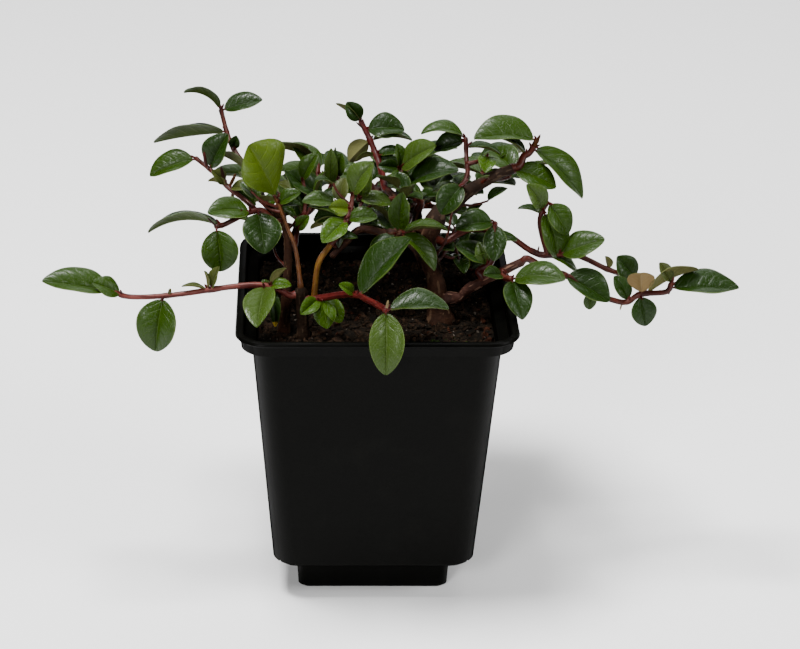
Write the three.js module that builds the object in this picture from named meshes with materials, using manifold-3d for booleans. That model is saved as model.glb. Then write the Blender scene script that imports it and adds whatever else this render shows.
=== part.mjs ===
// Bearberry cotoneaster, a creeping evergreen shrub, in its square nursery pot.
// Millimetres, +Z up. The origin is the middle of the pot's flat underside, the viewer stands at -Y.
//
// The shrub has two trunks and a short stub that come out of the soil, boughs that leave them, and
// shoots of foliage. Each shoot is one solid: a stem, its twigs and its leaves. Shoots and boughs are
// described by where they start on their carrier and by a few points that the wood grows through.
import * as THREE from 'three';
import { mergeVertices } from 'three/addons/utils/BufferGeometryUtils.js';
import Module from 'manifold-3d';

const wasm = await Module();
wasm.setup();

// Pot: a square one, 9 cm over its rim and 10 cm high
const potHeight = 100;
const rimHalf = 45;
const rimCorner = 10;
const lipHeight = 1.3;
const bandHeight = 5.2;
const bandHalf = 43.5;
const wallTopHalf = 39.8;
const wallFootHalf = 33.4;
const wallCorner = 8;
const footHalf = 25;
const footHeight = 12.8;
const footCorner = 3;
const wallThickness = 1.2;
const drainRadius = 3.5;
const drainPlace = 28.6;
const cornerSteps = 3;

// Soil: fills the pot to a little under the rim
const soilLevel = 91.5;
const touchGap = 0.3;

// Stems: the spacing of their rings, how near another stem's foot they are felt, and how many sides each has
const stemStep = 4;
const nearby = 5;
const limbSides = 7;
const stemSides = 5;
const twigSides = 4;

// Leaves
const petioleLength = 1.2;
const petioleRadius = 0.36;
const tipHalf = 0.16;
const bladeStations = [0.17, 0.47, 0.8];
const leafThickness = 0.42;
const leafBreadth = 0.74;
const pointSpread = 0.085;
const swings = [0, 16, -16, 32, -32, 48];

const up = new THREE.Vector3(0, 0, 1);
const rad = Math.PI / 180;

const colours = {
  potBlack: { color: 0x17181a, roughness: 0.42, metalness: 0 },
  peat: { color: 0x1d140f, roughness: 0.95, metalness: 0 },
  bark: { color: 0x4a3427, roughness: 0.8, metalness: 0 },
  foliage: { color: 0x35561b, roughness: 0.38, metalness: 0 },
};

// The woody limbs. on: the limb that carries it and how far along; through: points it grows through;
// thick: radius at its start and end
const limbs = [
  { name: 'trunk_left', flare: 0.4, thick: [1.6, 1.2],
    through: [[-29.6, -17.5, 91.8], [-28.8, -11, 103], [-28.3, -3, 114], [-29.5, 3, 120], [-34.5, 9, 124]] },
  { name: 'trunk_right', flare: 0.6, thick: [3.1, 2.7],
    through: [[21.6, -8.4, 91.8], [19.4, -5, 105], [17, 0, 114], [19.3, 4, 120]] },
  { name: 'stub', flare: 0.2, thick: [1.8, 2.0],
    through: [[-23.4, -21, 91.8], [-23.8, -19, 99], [-24.2, -17.5, 106]] },
  { name: 'bough_bright', on: ['stub', 1], thick: [0.85, 0.7],
    through: [[-25.8, -8, 116], [-28.1, -2, 120.3], [-30, 2, 124]] },
  { name: 'bough_yellow', on: ['stub', 0.8], thick: [1.2, 1.1],
    through: [[-18.7, -12, 112.7], [-14.8, -8, 118]] },
  { name: 'bough_low_east', on: ['trunk_right', 0.2], thick: [1.7, 1.3],
    through: [[30, -8.5, 102.5], [36, -9.5, 106.8], [41.7, -10, 110], [47, -10, 113]] },
  { name: 'bough_middle', on: ['trunk_right', 0.8], thick: [1.6, 1.0],
    through: [[11.7, 3, 118.6], [6.4, 0, 117.7], [-4.2, 4, 118.5], [-9.8, 0, 115.3], [-14, -3, 112]] },
  { name: 'bough_east_high', on: ['trunk_right', 1], thick: [2.5, 1.7],
    through: [[25, 6, 125.5], [31, 8, 130.6], [37.5, 10, 134], [44.7, 12, 136.4]] },
  { name: 'bough_crown', on: ['trunk_right', 0.92], thick: [1.7, 1.2],
    through: [[14, 10, 121.4], [9.5, 18, 122], [5, 29, 122]] },
  { name: 'bough_back', on: ['trunk_right', 0.55], thick: [1.6, 1.2],
    through: [[14, 8, 109], [9, 24, 110], [4, 40, 112]] },
];

// The shoots of foliage. leaves: how far along the stem, where the tip points as the hour on a clock
// seen from the front, length, how far the blade turns from the viewer to the sky in degrees, how far it
// leans to the viewer, and where it matters how broad it is and how far it bends, in radians.
// more: how many further leaves the seeded rule adds, in two ranks; twigCount: how many twigs it adds
const shoots = [
  { name: 'foliage_west_runner', seed: 11, on: ['stub', 0.93], thick: [0.85, 0.7], more: 0,
    through: [[-35, -18, 108], [-44.4, -18, 108], [-65.6, -18, 104.8], [-79, -18, 104.2],
      [-84.5, -18, 106.2]],
    leaves: [[1, 9.3, 23, 85, 0, 1, 0.2], [0.95, 10, 10.5, 65, 10, 1.15], [0.72, 6.3, 18.5, 80, 14, 1.12],
      [0.17, 6.6, 17, 80, 25, 0.85], [0.12, 5.9, 12.5, 45, 30, 0.5], [0.15, 2.8, 7.5, 65, 8],
      [0.19, 6.7, 16.5, 100, 18], [0.48, 9.3, 8.5, 105, 0, 1, 0.8], [0.46, 0.6, 8.5, 80, 0],
      [0.48, 11.7, 6.5, 100, -10], [0.13, 1.2, 8, 125, -8, 1, 0.9], [0.14, 10.2, 3.5, 60, -12]] },
  { name: 'foliage_front', seed: 12, on: ['stub', 0.8], thick: [1.0, 0.85], more: 0,
    through: [[-17.5, -20, 104.7], [-8, -26, 108.8], [-2.5, -34, 110], [2.4, -42, 110.7]],
    leaves: [[0.99, 6, 20.5, 45, 24, 0.88], [1, 2.9, 19.5, 85, 5, 1, 0.5], [0.56, 1.4, 25, 85, -8, 1, 0.3],
      [0.1, 8.1, 8.5, 35, 40, 1], [0.13, 5.6, 10, 45, 30, 1.1], [0.14, 4.7, 10, 60, 14, 1.1],
      [0.5, 10.3, 6.5, 55, 8, 1.1]] },
  { name: 'foliage_west_low', seed: 13, on: ['trunk_left', 0.84], thick: [0.85, 0.7], more: 0,
    through: [[-37, 4, 125], [-42.4, 2, 124.6], [-48.4, -3, 123.3], [-51.5, -6, 123.6]],
    leaves: [[0.91, 8.8, 24, 110, 0, 1, 1.2], [1, 5.8, 15, 45, 10, 1.3], [0.35, 5.6, 15, 65, 10, 1.3],
      [0.43, 9.2, 15, 65, 18]] },
  { name: 'foliage_west_mid', seed: 14, on: ['trunk_left', 0.93], thick: [0.8, 0.6], more: 0,
    through: [[-42.6, 14, 124.6], [-47.9, 18, 127.3], [-53.4, 24, 130.6], [-59.2, 30, 133.2]],
    leaves: [[0.99, 8.3, 17, 70, 0, 1.05, 0.6], [0.82, 0.9, 14, 65, 0, 1.15],
      [0.55, 3.4, 15.5, 115, 0, 1, 1.5], [0.6, 10.7, 7, 55, 12, 1.1], [0.56, 9.6, 7, 135, 0],
      [0.54, 2.8, 9, 70, -12], [0.53, 4.2, 10.5, 70, -6]] },
  { name: 'foliage_west_high', seed: 15, on: ['trunk_left', 1], thick: [0.9, 0.65], more: 0,
    through: [[-39.4, 20, 129.3], [-46, 30, 135.4], [-48.6, 36, 139], [-51, 42, 145.8]],
    leaves: [[1, 2.5, 14.5, 70, 0, 0.98, 0.25], [1, 9.9, 14, 110, 0, 1, 1.5],
      [0.82, 8.7, 25, 110, 0, 1, 0.35], [0.64, 0.3, 5, 45, 0, 1.2], [0.38, 9.8, 12.5, 125, 4],
      [0.38, 11.6, 5, 80, -6]] },
  { name: 'foliage_bright', seed: 16, on: ['bough_bright', 1], thick: [0.75, 0.6], more: 0,
    through: [[-31, 4, 126], [-32.3, 6, 128.5]],
    leaves: [[0.97, 11.3, 21.5, 65, 5, 1.3, 0.4], [0.69, 3.7, 6.5, 70, 5], [0.89, 8.8, 7.5, 135, -4]] },
  { name: 'foliage_centre', seed: 17, on: ['bough_yellow', 1], thick: [0.9, 0.6], more: 1,
    through: [[-11, -5, 122], [-8.3, -1, 127], [-7.5, 2, 131]],
    leaves: [[0.55, 7.5, 10.5, 60, 16, 1.05], [0.55, 2.8, 10, 60, 5, 1.05], [0.76, 9.3, 7.5, 30, 14, 1.2],
      [0.51, 6.5, 9.5, 70, -14], [0.56, 8.3, 13, 120, -12]],
    twigs: [{ at: 0.75, thick: [0.55, 0.45], through: [[-10.2, 1.5, 127.8], [-12.5, 1, 128.9]],
      leaves: [[1, 9.2, 11.5, 70, -8]] }] },
  { name: 'foliage_middle', seed: 18, on: ['bough_middle', 0.36], thick: [1.0, 0.8], more: 0,
    through: [[7, -2.5, 119.5], [8, -5, 121]],
    leaves: [[0.82, 0.1, 15, 80, 5, 0.78, 0.3], [0.68, 7.6, 12.5, 85, 26], [1, 4.5, 16.5, 90, 20, 1],
      [1, 2.9, 15.5, 100, 0, 1, 0.9], [0.6, 5.3, 20.5, 90, 0]] },
  { name: 'foliage_east_top', seed: 19, on: ['bough_east_high', 1], thick: [1.2, 0.7], more: 0,
    through: [[48.8, 15, 139.8], [50.8, 16, 140.6], [53.1, 18, 144.2]],
    leaves: [[1, 9.1, 21, 75, 5, 1.1, 0.7], [0.78, 4.5, 24, 80, 6, 0.92, 0.5],
      [0, 3.7, 15.5, 65, 12, 1.1, 0.6], [0.55, 10, 11, 90, -6], [0.07, 4.5, 14, 80, -10]] },
  { name: 'foliage_east_arch', seed: 20, on: ['bough_east_high', 0.38], thick: [0.85, 0.6], more: 0,
    through: [[30.4, 16, 132], [30.6, 24, 136], [30.5, 28, 141]],
    leaves: [[1, 9.2, 15, 85, 0, 1, 1.3], [0.96, 8.4, 11, 60, -6, 1.1, 0.9], [0.88, 3.4, 12, 95, 0, 1, 0.9],
      [0.19, 7.8, 12.5, 40, 48, 1], [0.32, 3.8, 10, 90, -5, 1, 0.8]],
    twigs: [{ at: 0.62, thick: [0.6, 0.45], through: [[34.3, 20, 136], [37, 17, 139]],
      leaves: [[1, 7, 9.5, 45, 58, 1.05]] }] },
  { name: 'foliage_crown_right', seed: 21, on: ['bough_crown', 0.3], thick: [1.0, 0.8], more: 0,
    through: [[12.1, 16, 125.6], [10.3, 22, 128.5], [8.8, 26, 131.2]],
    leaves: [[1, 1.6, 16.5, 70, 5, 1], [0.64, 2.3, 18.5, 75, 10, 1.05], [1, 9.3, 7.5, 30, 5, 1.1],
      [0.93, 2.1, 10.5, 125, -8], [1, 11.7, 8.5, 90, -8], [1, 6.1, 9.5, 45, 8]] },
  { name: 'foliage_crown_middle', seed: 22, on: ['bough_crown', 0.66], thick: [0.9, 0.65], more: 1,
    through: [[3, 13, 124.5], [-5.5, 10, 126.5]],
    leaves: [[0.94, 0.4, 14, 75, 2, 1.1], [0.99, 3.2, 11, 70, 10, 1], [0.92, 4.4, 14, 100, 0],
      [1, 10.4, 9, 80, 0, 1]] },
  { name: 'foliage_crown_top', seed: 23, on: ['bough_crown', 1], thick: [1.2, 0.75], more: 0,
    through: [[2.8, 45, 124.8], [-0.5, 52, 131.3], [-3.6, 56, 136.7]],
    leaves: [[1, 10.8, 8.5, 30, 0, 1.2], [0.9, 3, 13.5, 55, 0, 1.2], [0.78, 3, 14.5, 100, 0, 1, 0.9],
      [0.59, 3.8, 9, 65, 10], [0.78, 7.7, 10.5, 170, 25, 1.1], [0.61, 2.7, 9, 75, -2, 1, 0.7],
      [1, 10.1, 10.5, 110, -14, 1, 0.3], [0.61, 8.6, 7, 135, 10]] },
  { name: 'foliage_crown_left', seed: 24, on: ['trunk_left', 0.66], thick: [1.1, 0.75], more: 2,
    through: [[-25, 10, 118.5], [-19, 22, 121], [-18.5, 34, 131]],
    leaves: [[1, 9.5, 19, 115, 0, 1, 0.7], [0.39, 11.2, 16.5, 75, 12], [0.22, 1.3, 7, 40, 10, 1.05]],
    twigs: [{ at: 0.55, thick: [0.65, 0.5], through: [[-16, 23, 122.6], [-13.8, 26, 125.6], [-11.5, 28, 127]],
      leaves: [[0.71, 12, 14, 45, 5, 0.52], [0.4, 10.1, 16.5, 60, 10, 1, 0.4],
        [0.82, 0.1, 12, 45, -10, 0.3], [1, 0.2, 8.5, 85, -6]] },
    { at: 0.4, thick: [0.55, 0.45], through: [[-22.5, 17, 124], [-23.5, 20, 129]],
      leaves: [[1, 0.9, 10.5, 70, -4, 1]] }] },
  { name: 'foliage_east_inner', seed: 25, on: ['bough_low_east', 0.5], thick: [0.9, 0.7], more: 0,
    through: [[37.5, -9, 113], [38.5, -4, 124]],
    leaves: [[1, 9.3, 13, 65, 5, 1.1, 0.8], [1, 6, 11.5, 45, 10, 1.15], [0.77, 3.4, 8, 75, -12],
      [0.27, 11.3, 8.5, 45, -8, 1.05], [0.49, 1.5, 6, 75, -20]] },
  { name: 'foliage_east_node', seed: 26, on: ['bough_low_east', 0.75], thick: [0.9, 0.8], more: 0,
    through: [[43.4, -16, 109.6]],
    leaves: [[1, 5.4, 15.5, 65, 22, 1], [1, 2.7, 18, 75, 5, 1, 0.7], [0, 9.6, 9, 70, 5]] },
  { name: 'foliage_east_runner', seed: 27, on: ['trunk_right', 0.86], thick: [1.0, 0.7], more: 0,
    through: [[31, 5, 118], [42.5, 4, 116.7], [53.2, 0, 111.4], [65.3, 0, 111], [76, 0, 106],
      [86, 2, 101.5]],
    leaves: [[0.6, 2.2, 16, 65, 8, 1.05, 0.4], [1, 10.7, 10.5, 45, 0, 1.2], [0.85, 11.5, 5, 105, 0, 1, 1.2],
      [0.56, 11.3, 5.5, 75, 0], [0.16, 6.7, 6.5, 75, 0], [0.54, 4.2, 14.5, 80, -12]],
    twigs: [{ at: 0.55, thick: [0.75, 0.55], through: [[54.4, 2, 117.2], [53.6, 3, 122.8], [56.1, 4, 128]],
      leaves: [[0.82, 5.4, 16.5, 85, 16, 1], [1, 4.9, 12.5, 60, 14, 1.05], [0.81, 11, 11.5, 55, 5, 1.1],
        [0.76, 9.4, 8, 90, -5, 1, 0.9]] }] },
  { name: 'foliage_east_low_runner', seed: 28, on: ['bough_low_east', 1], thick: [0.95, 0.75], more: 0,
    through: [[55, -6, 109], [63, -6, 105.8], [69.8, -8, 101.4], [77.4, -8, 98.5], [82, -8, 97.8],
      [86.4, -8, 100.6], [94.5, -8, 101.4], [96.3, -8, 104.6]],
    leaves: [[0.97, 3, 22.5, 80, 0, 1, 0.2], [0.31, 3.9, 17, 65, 14, 1.15], [0.79, 5.6, 11, 45, 8, 1.2],
      [0.82, 2.2, 19, 130, -8, 1, 0.7], [0.72, 10.9, 9.5, 60, -16, 1], [0.8, 11.7, 12, 130, 30, 1.1],
      [1, 10.9, 8, 70, -10, 1.1], [0.48, 5.9, 6.5, 45, 0, 1]] },
  { name: 'foliage_back_middle', seed: 31, on: ['bough_back', 1], thick: [1.1, 0.7], more: 6, twigCount: 2,
    through: [[1, 54, 113], [-3, 70, 110]],
    leaves: [] },
  { name: 'foliage_back_right', seed: 32, on: ['bough_back', 0.7], thick: [1.0, 0.7], more: 7, twigCount: 2,
    through: [[16, 40, 112], [28, 62, 109]],
    leaves: [] },
  { name: 'foliage_back_left', seed: 33, on: ['trunk_left', 0.74], thick: [1.0, 0.7], more: 7, twigCount: 2,
    through: [[-30, 20, 117], [-28, 40, 116], [-31, 58, 112]],
    leaves: [] },
  { name: 'foliage_back_east', seed: 34, on: ['bough_east_high', 0.55], thick: [0.9, 0.7],
    more: 7, twigCount: 1,
    through: [[37, 28, 127], [37, 44, 124], [38, 57, 119]],
    leaves: [] },
  { name: 'foliage_inner', seed: 35, on: ['trunk_right', 0.62], thick: [0.8, 0.6], more: 5,
    through: [[24, 7, 110], [32, 14, 109]],
    leaves: [] },
];

// A seeded stream of numbers between 0 and 1
function seededNumbers(seed) {
  let state = seed * 7919 + 17;
  return () => {
    state = (state * 16807) % 2147483647;
    return state / 2147483647;
  };
}

function point(values) {
  return new THREE.Vector3(values[0], values[1], values[2]);
}

// A smooth path through the given points, as closely spaced points
function smoothPath(points, step) {
  const count = points.length;
  const before = points[0].clone().multiplyScalar(2).sub(points[1]);
  const after = points[count - 1].clone().multiplyScalar(2).sub(points[count - 2]);
  const all = [before, ...points, after];
  const path = [points[0].clone()];
  for (let i = 1; i < count; i += 1) {
    const [a, b, c, d] = [all[i - 1], all[i], all[i + 1], all[i + 2]];
    const pieces = Math.max(2, Math.round(b.distanceTo(c) / step));
    for (let j = 1; j <= pieces; j += 1) {
      const t = j / pieces;
      const weights = [
        -0.5 * t + t * t - 0.5 * t * t * t,
        1 - 2.5 * t * t + 1.5 * t * t * t,
        0.5 * t + 2 * t * t - 1.5 * t * t * t,
        -0.5 * t * t + 0.5 * t * t * t,
      ];
      path.push(new THREE.Vector3()
        .addScaledVector(a, weights[0]).addScaledVector(b, weights[1])
        .addScaledVector(c, weights[2]).addScaledVector(d, weights[3]));
    }
  }
  return path;
}

// The place, direction and radius of a stem at a fraction of its length
function placeOn(stem, at) {
  const { path } = stem;
  const lengths = [0];
  for (let i = 1; i < path.length; i += 1) {
    lengths.push(lengths[i - 1] + path[i].distanceTo(path[i - 1]));
  }
  const wanted = at * lengths[path.length - 1];
  let i = 1;
  while (i < path.length - 1 && lengths[i] < wanted) i += 1;
  const share = (wanted - lengths[i - 1]) / (lengths[i] - lengths[i - 1]);
  return {
    place: path[i - 1].clone().lerp(path[i], share),
    tangent: path[i].clone().sub(path[i - 1]).normalize(),
    radius: radiusAt(stem, at),
  };
}

// The radius of a stem at a share of its length, widened at a flared foot
function radiusAt(stem, share) {
  const { thick, flare = 0 } = stem;
  return (thick[0] + (thick[1] - thick[0]) * share) * (1 + flare * Math.exp(-9 * share));
}

// How far a stem's side stands out from a place on it, in a direction, over a few millimetres
function standOut(stem, place, out) {
  let reach = 0;
  stem.path.forEach((centre, i) => {
    if (centre.distanceTo(place) >= nearby) return;
    const radius = radiusAt(stem, i / (stem.path.length - 1));
    reach = Math.max(reach, centre.clone().sub(place).dot(out) + radius);
  });
  return reach;
}

// A stem that starts a touch gap clear of its carrier, square to the carrier's side or in line at its tip
function stemOn(carrier, at, description) {
  const { place, tangent, radius } = placeOn(carrier, at);
  const through = description.through.map(point);
  const away = through[0].clone().sub(place);
  if (at < 1) away.addScaledVector(tangent, -away.dot(tangent));
  away.normalize();
  const heading = at < 1 ? away : tangent;
  const offset = at < 1 ? Math.max(radius, standOut(carrier, place, heading)) : 0;
  const root = place.clone().addScaledVector(heading, offset + touchGap);
  const collar = root.clone().addScaledVector(heading, 2 * description.thick[0]);
  return { ...description, heading, path: smoothPath([root, collar, ...through], stemStep) };
}

// A twig that starts inside its own stem
function twigOn(stem, description) {
  const { place } = placeOn(stem, description.at);
  return { ...description, path: smoothPath([place, ...description.through.map(point)], stemStep) };
}

// Rings of vertices joined into one closed solid, with a flat lid on both ends
function loft(rings) {
  const size = rings[0].length;
  const positions = [];
  const triangle = (a, b, c) => positions.push(...a.toArray(), ...b.toArray(), ...c.toArray());
  for (let i = 0; i < rings.length - 1; i += 1) {
    for (let j = 0; j < size; j += 1) {
      const k = (j + 1) % size;
      triangle(rings[i][j], rings[i][k], rings[i + 1][k]);
      triangle(rings[i][j], rings[i + 1][k], rings[i + 1][j]);
    }
  }
  const last = rings.length - 1;
  for (let j = 1; j < size - 1; j += 1) {
    triangle(rings[0][0], rings[0][j + 1], rings[0][j]);
    triangle(rings[last][0], rings[last][j], rings[last][j + 1]);
  }
  const geometry = new THREE.BufferGeometry();
  geometry.setAttribute('position', new THREE.Float32BufferAttribute(positions, 3));
  return mergeVertices(geometry, 1e-5);
}

// A tapered round stem along its path, cut square to its heading at its foot
function tube(stem, sides) {
  const { path } = stem;
  const rings = [];
  let side = new THREE.Vector3(0.31, 0.95, 0.05);
  path.forEach((centre, i) => {
    const next = path[Math.min(i + 1, path.length - 1)];
    const previous = path[Math.max(i - 1, 0)];
    const tangent = stem.heading && i === 0 ? stem.heading : next.clone().sub(previous).normalize();
    side = side.clone().addScaledVector(tangent, -side.dot(tangent)).normalize();
    const other = tangent.clone().cross(side);
    const radius = radiusAt(stem, i / (path.length - 1));
    const ring = [];
    for (let j = 0; j < sides; j += 1) {
      const angle = (2 * Math.PI * j) / sides;
      ring.push(centre.clone()
        .addScaledVector(side, radius * Math.cos(angle)).addScaledVector(other, radius * Math.sin(angle)));
    }
    rings.push(ring);
  });
  return loft(rings);
}

// How a leaf sits: its root, the way its tip points, its upper face, and its shape. It bends down along its
// length, by a given angle or a seeded one.
function leafPose(root, axis, facing, length, random, broad = 1, bend = 0) {
  const normal = facing.clone().addScaledVector(axis, -facing.dot(axis)).normalize();
  const seededBend = 0.35 + 0.6 * random();
  return {
    root, axis, normal, length,
    side: axis.clone().cross(normal),
    petiole: Math.min(petioleLength, 0.08 * length),
    breadth: leafBreadth * broad * (0.95 + 0.1 * random()),
    bend: bend || seededBend,
    fold: 0.2 + 0.22 * random(),
  };
}

// A listed leaf, from the hour its tip points to, its face and its lean
function listedPose(root, leaf, random) {
  const [, hour, length, face, lean, broad, bend] = leaf;
  const axis = new THREE.Vector3(
    Math.sin(hour * 30 * rad) * Math.cos(lean * rad), -Math.sin(lean * rad),
    Math.cos(hour * 30 * rad) * Math.cos(lean * rad));
  const facing = new THREE.Vector3(0, -Math.cos(face * rad), Math.sin(face * rad));
  return leafPose(root, axis, facing, length, random, broad, bend);
}

// A leaf of the seeded rule: ranks alternate left and right of the stem and open towards the light
function rankedPose(root, tangent, rank, atTip, random) {
  const across = tangent.clone().cross(up).normalize();
  const spread = (atTip ? 8 : 62 + 22 * (random() - 0.5)) * rad;
  const axis = tangent.clone().multiplyScalar(Math.cos(spread))
    .addScaledVector(across, rank * Math.sin(spread))
    .addScaledVector(up, 0.1 + 0.5 * (random() - 0.3)).normalize();
  const facing = new THREE.Vector3(0.5 * (random() - 0.5), 0.5 * (random() - 0.5), 1);
  return leafPose(root, axis, facing, 11.5 + 6 * random(), random);
}

// The same leaf, swung about its root by an angle towards the viewer
function swungPose(pose, degrees) {
  const axisX = new THREE.Vector3(-Math.cos(Math.atan2(pose.axis.x, pose.axis.z)), 0,
    Math.sin(Math.atan2(pose.axis.x, pose.axis.z)));
  const turn = (v) => v.clone().applyAxisAngle(axisX, -degrees * rad);
  return { ...pose, axis: turn(pose.axis), normal: turn(pose.normal), side: turn(pose.side) };
}

// A place on the leaf: t runs from the root to the tip, across from one edge (-1) to the other (1)
function leafPlace(pose, t, across) {
  const half = pose.bend / 2;
  const along = (Math.sin(half) - Math.sin(half - pose.bend * t)) / (2 * Math.sin(half));
  const rise = (Math.cos(half - pose.bend * t) - Math.cos(half)) / (2 * Math.sin(half));
  const blade = (t * pose.length - pose.petiole) / (pose.length - pose.petiole);
  const edge = blade <= 0 ? 0 : across * bladeHalf(pose, blade);
  return pose.root.clone()
    .addScaledVector(pose.axis, pose.length * along)
    .addScaledVector(pose.normal, pose.length * rise + Math.abs(edge) * Math.sin(pose.fold))
    .addScaledVector(pose.side, edge * Math.cos(pose.fold));
}

// Half the blade's breadth at a share of its length: broadest a little before the middle
function bladeHalf(pose, blade) {
  return 0.5 * pose.breadth * (pose.length - pose.petiole) * Math.sin(Math.PI * blade ** 0.88) ** 0.7;
}

// The leaf as a thin solid: a petiole and a blade folded along its midrib
function leafSolid(pose) {
  const bladeStart = pose.petiole / pose.length;
  const stations = [0, bladeStart * 0.9];
  for (const blade of bladeStations) stations.push(bladeStart + (1 - bladeStart) * blade);
  stations.push(1);
  const rings = stations.map((t, i) => {
    const onPetiole = i < 2;
    const atTip = i === stations.length - 1;
    const middle = leafPlace(pose, t, 0);
    const half = onPetiole ? petioleRadius : tipHalf;
    const ends = onPetiole || atTip
      ? [middle.clone().addScaledVector(pose.side, -half), middle.clone().addScaledVector(pose.side, half)]
      : [leafPlace(pose, t, -1), leafPlace(pose, t, 1)];
    const thick = onPetiole ? petioleRadius : (atTip ? tipHalf : leafThickness / 2);
    return [
      ends[0], middle.clone().addScaledVector(pose.normal, thick),
      ends[1], middle.clone().addScaledVector(pose.normal, -thick),
    ];
  });
  return loft(rings);
}

// Points spread over a leaf, each with a reach, that stand for it where clearances are tested
function leafPoints(pose) {
  const points = [];
  const reach = pointSpread * pose.length;
  for (let i = 0; i < 7; i += 1) {
    const t = 0.24 + (0.75 * i) / 6;
    for (const across of [-0.85, -0.42, 0, 0.42, 0.85]) {
      points.push({ place: leafPlace(pose, t, across), reach });
    }
  }
  return points;
}

function stemPoints(stem) {
  const points = [];
  const steps = stem.path.length * 2;
  for (let i = 0; i <= steps; i += 1) {
    const { place, radius } = placeOn(stem, i / steps);
    points.push({ place, reach: radius + 0.5 });
  }
  return points;
}

// Clear of the pot's wall and rim, above the soil inside it and above the ground outside
function clearOfPot(place) {
  const out = Math.max(Math.abs(place.x), Math.abs(place.y));
  if (place.z > potHeight + 1) return true;
  if (out > rimHalf + 1) return place.z > 1;
  return out < rimHalf - 4 && place.z > soilLevel + 1;
}

function isClear(points, taken, owner) {
  for (const mine of points) {
    if (!clearOfPot(mine.place)) return false;
    for (const other of taken) {
      if (other.owner === owner) continue;
      const reach = mine.reach + other.reach;
      if (mine.place.distanceToSquared(other.place) < reach * reach) return false;
    }
  }
  return true;
}

// Two leaves of one shoot may meet near their roots but not out on their blades
function clearOfSiblings(pose, siblings) {
  const outer = leafPoints(pose).slice(15);
  return siblings.every((sibling) => {
    const theirs = leafPoints(sibling).slice(15);
    return outer.every((mine) => theirs.every((other) => (
      mine.place.distanceTo(other.place) > 0.6 * (mine.reach + other.reach))));
  });
}

// The stems of every limb and shoot, by name
function growStems() {
  const stems = {};
  for (const limb of limbs) {
    stems[limb.name] = limb.on
      ? stemOn(stems[limb.on[0]], limb.on[1], limb)
      : { ...limb, heading: up, path: smoothPath(limb.through.map(point), stemStep) };
  }
  for (const shoot of shoots) {
    const stem = stemOn(stems[shoot.on[0]], shoot.on[1], shoot);
    const random = seededNumbers(shoot.seed + 500);
    stem.twigs = (shoot.twigs ?? []).map((twig) => twigOn(stem, twig));
    for (let i = 0; i < (shoot.twigCount ?? 0); i += 1) stem.twigs.push(seededTwig(stem, i, random));
    stems[shoot.name] = stem;
  }
  return stems;
}

// A side twig of the seeded rule, that curves out and up from its stem
function seededTwig(stem, index, random) {
  const at = 0.35 + 0.3 * index;
  const { place, tangent } = placeOn(stem, at);
  const rank = index % 2 === 0 ? 1 : -1;
  const across = tangent.clone().cross(up).normalize().multiplyScalar(rank);
  const reach = 13 + 6 * random();
  const middle = place.clone().addScaledVector(across, 0.5 * reach).addScaledVector(tangent, 0.3 * reach);
  const end = middle.clone().addScaledVector(across, 0.4 * reach)
    .addScaledVector(tangent, 0.5 * reach).addScaledVector(up, 2 + 4 * random());
  return { at, thick: [0.7, 0.5], path: smoothPath([place, middle, end], stemStep), leaves: [], more: 3 };
}

// Every leaf of every shoot: the listed ones first, then those of the seeded rule
function growLeaves(stems) {
  const taken = [];
  const leaves = {};
  for (const [name, stem] of Object.entries(stems)) {
    for (const part of [stem, ...(stem.twigs ?? [])]) {
      for (const stemPoint of stemPoints(part)) taken.push({ ...stemPoint, owner: name });
    }
  }
  const place = (name, pose, siblings) => {
    for (const swing of swings) {
      const tried = swungPose(pose, swing);
      const points = leafPoints(tried);
      if (isClear(points, taken, name) && clearOfSiblings(tried, siblings)) {
        leaves[name].push(tried);
        for (const leafPoint of points) taken.push({ ...leafPoint, owner: name });
        return;
      }
    }
  };
  for (const shoot of shoots) {
    const random = seededNumbers(shoot.seed);
    leaves[shoot.name] = [];
    for (const part of [stems[shoot.name], ...stems[shoot.name].twigs]) {
      for (const leaf of part.leaves) {
        place(shoot.name, listedPose(placeOn(part, leaf[0]).place, leaf, random), []);
      }
    }
  }
  for (const shoot of shoots) {
    const random = seededNumbers(shoot.seed + 1000);
    for (const part of [stems[shoot.name], ...stems[shoot.name].twigs]) {
      const count = part.more ?? 0;
      for (let i = 0; i < count; i += 1) {
        const reach = part.leaves.length > 0 ? 0.55 : 0.7;
        const at = Math.min(1, 0.3 + (reach * (i + 1)) / count);
        const { place: root, tangent } = placeOn(part, at);
        const pose = rankedPose(root, tangent, i % 2 === 0 ? 1 : -1, at === 1, random);
        place(shoot.name, pose, leaves[shoot.name]);
      }
    }
  }
  return leaves;
}

function toSolid(geometry) {
  const bare = geometry.clone();
  bare.deleteAttribute('normal');
  bare.deleteAttribute('uv');
  const merged = mergeVertices(bare, 1e-5);
  return new wasm.Manifold(new wasm.Mesh({
    numProp: 3,
    vertProperties: Float32Array.from(merged.attributes.position.array),
    triVerts: Uint32Array.from(merged.index.array),
  }));
}

function toGeometry(solid) {
  const mesh = solid.getMesh();
  const geometry = new THREE.BufferGeometry();
  geometry.setAttribute('position', new THREE.BufferAttribute(mesh.vertProperties, 3));
  geometry.setIndex(new THREE.BufferAttribute(mesh.triVerts, 1));
  return geometry;
}

// A level square ring with rounded corners
function squareRing(half, corner, height) {
  const ring = [];
  for (let quarter = 0; quarter < 4; quarter += 1) {
    const centreX = (quarter === 0 || quarter === 3 ? 1 : -1) * (half - corner);
    const centreY = (quarter < 2 ? 1 : -1) * (half - corner);
    for (let i = 0; i <= cornerSteps; i += 1) {
      const angle = (quarter + i / cornerSteps) * 90 * rad;
      ring.push(new THREE.Vector3(
        centreX + corner * Math.cos(angle), centreY + corner * Math.sin(angle), height));
    }
  }
  return ring;
}

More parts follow.
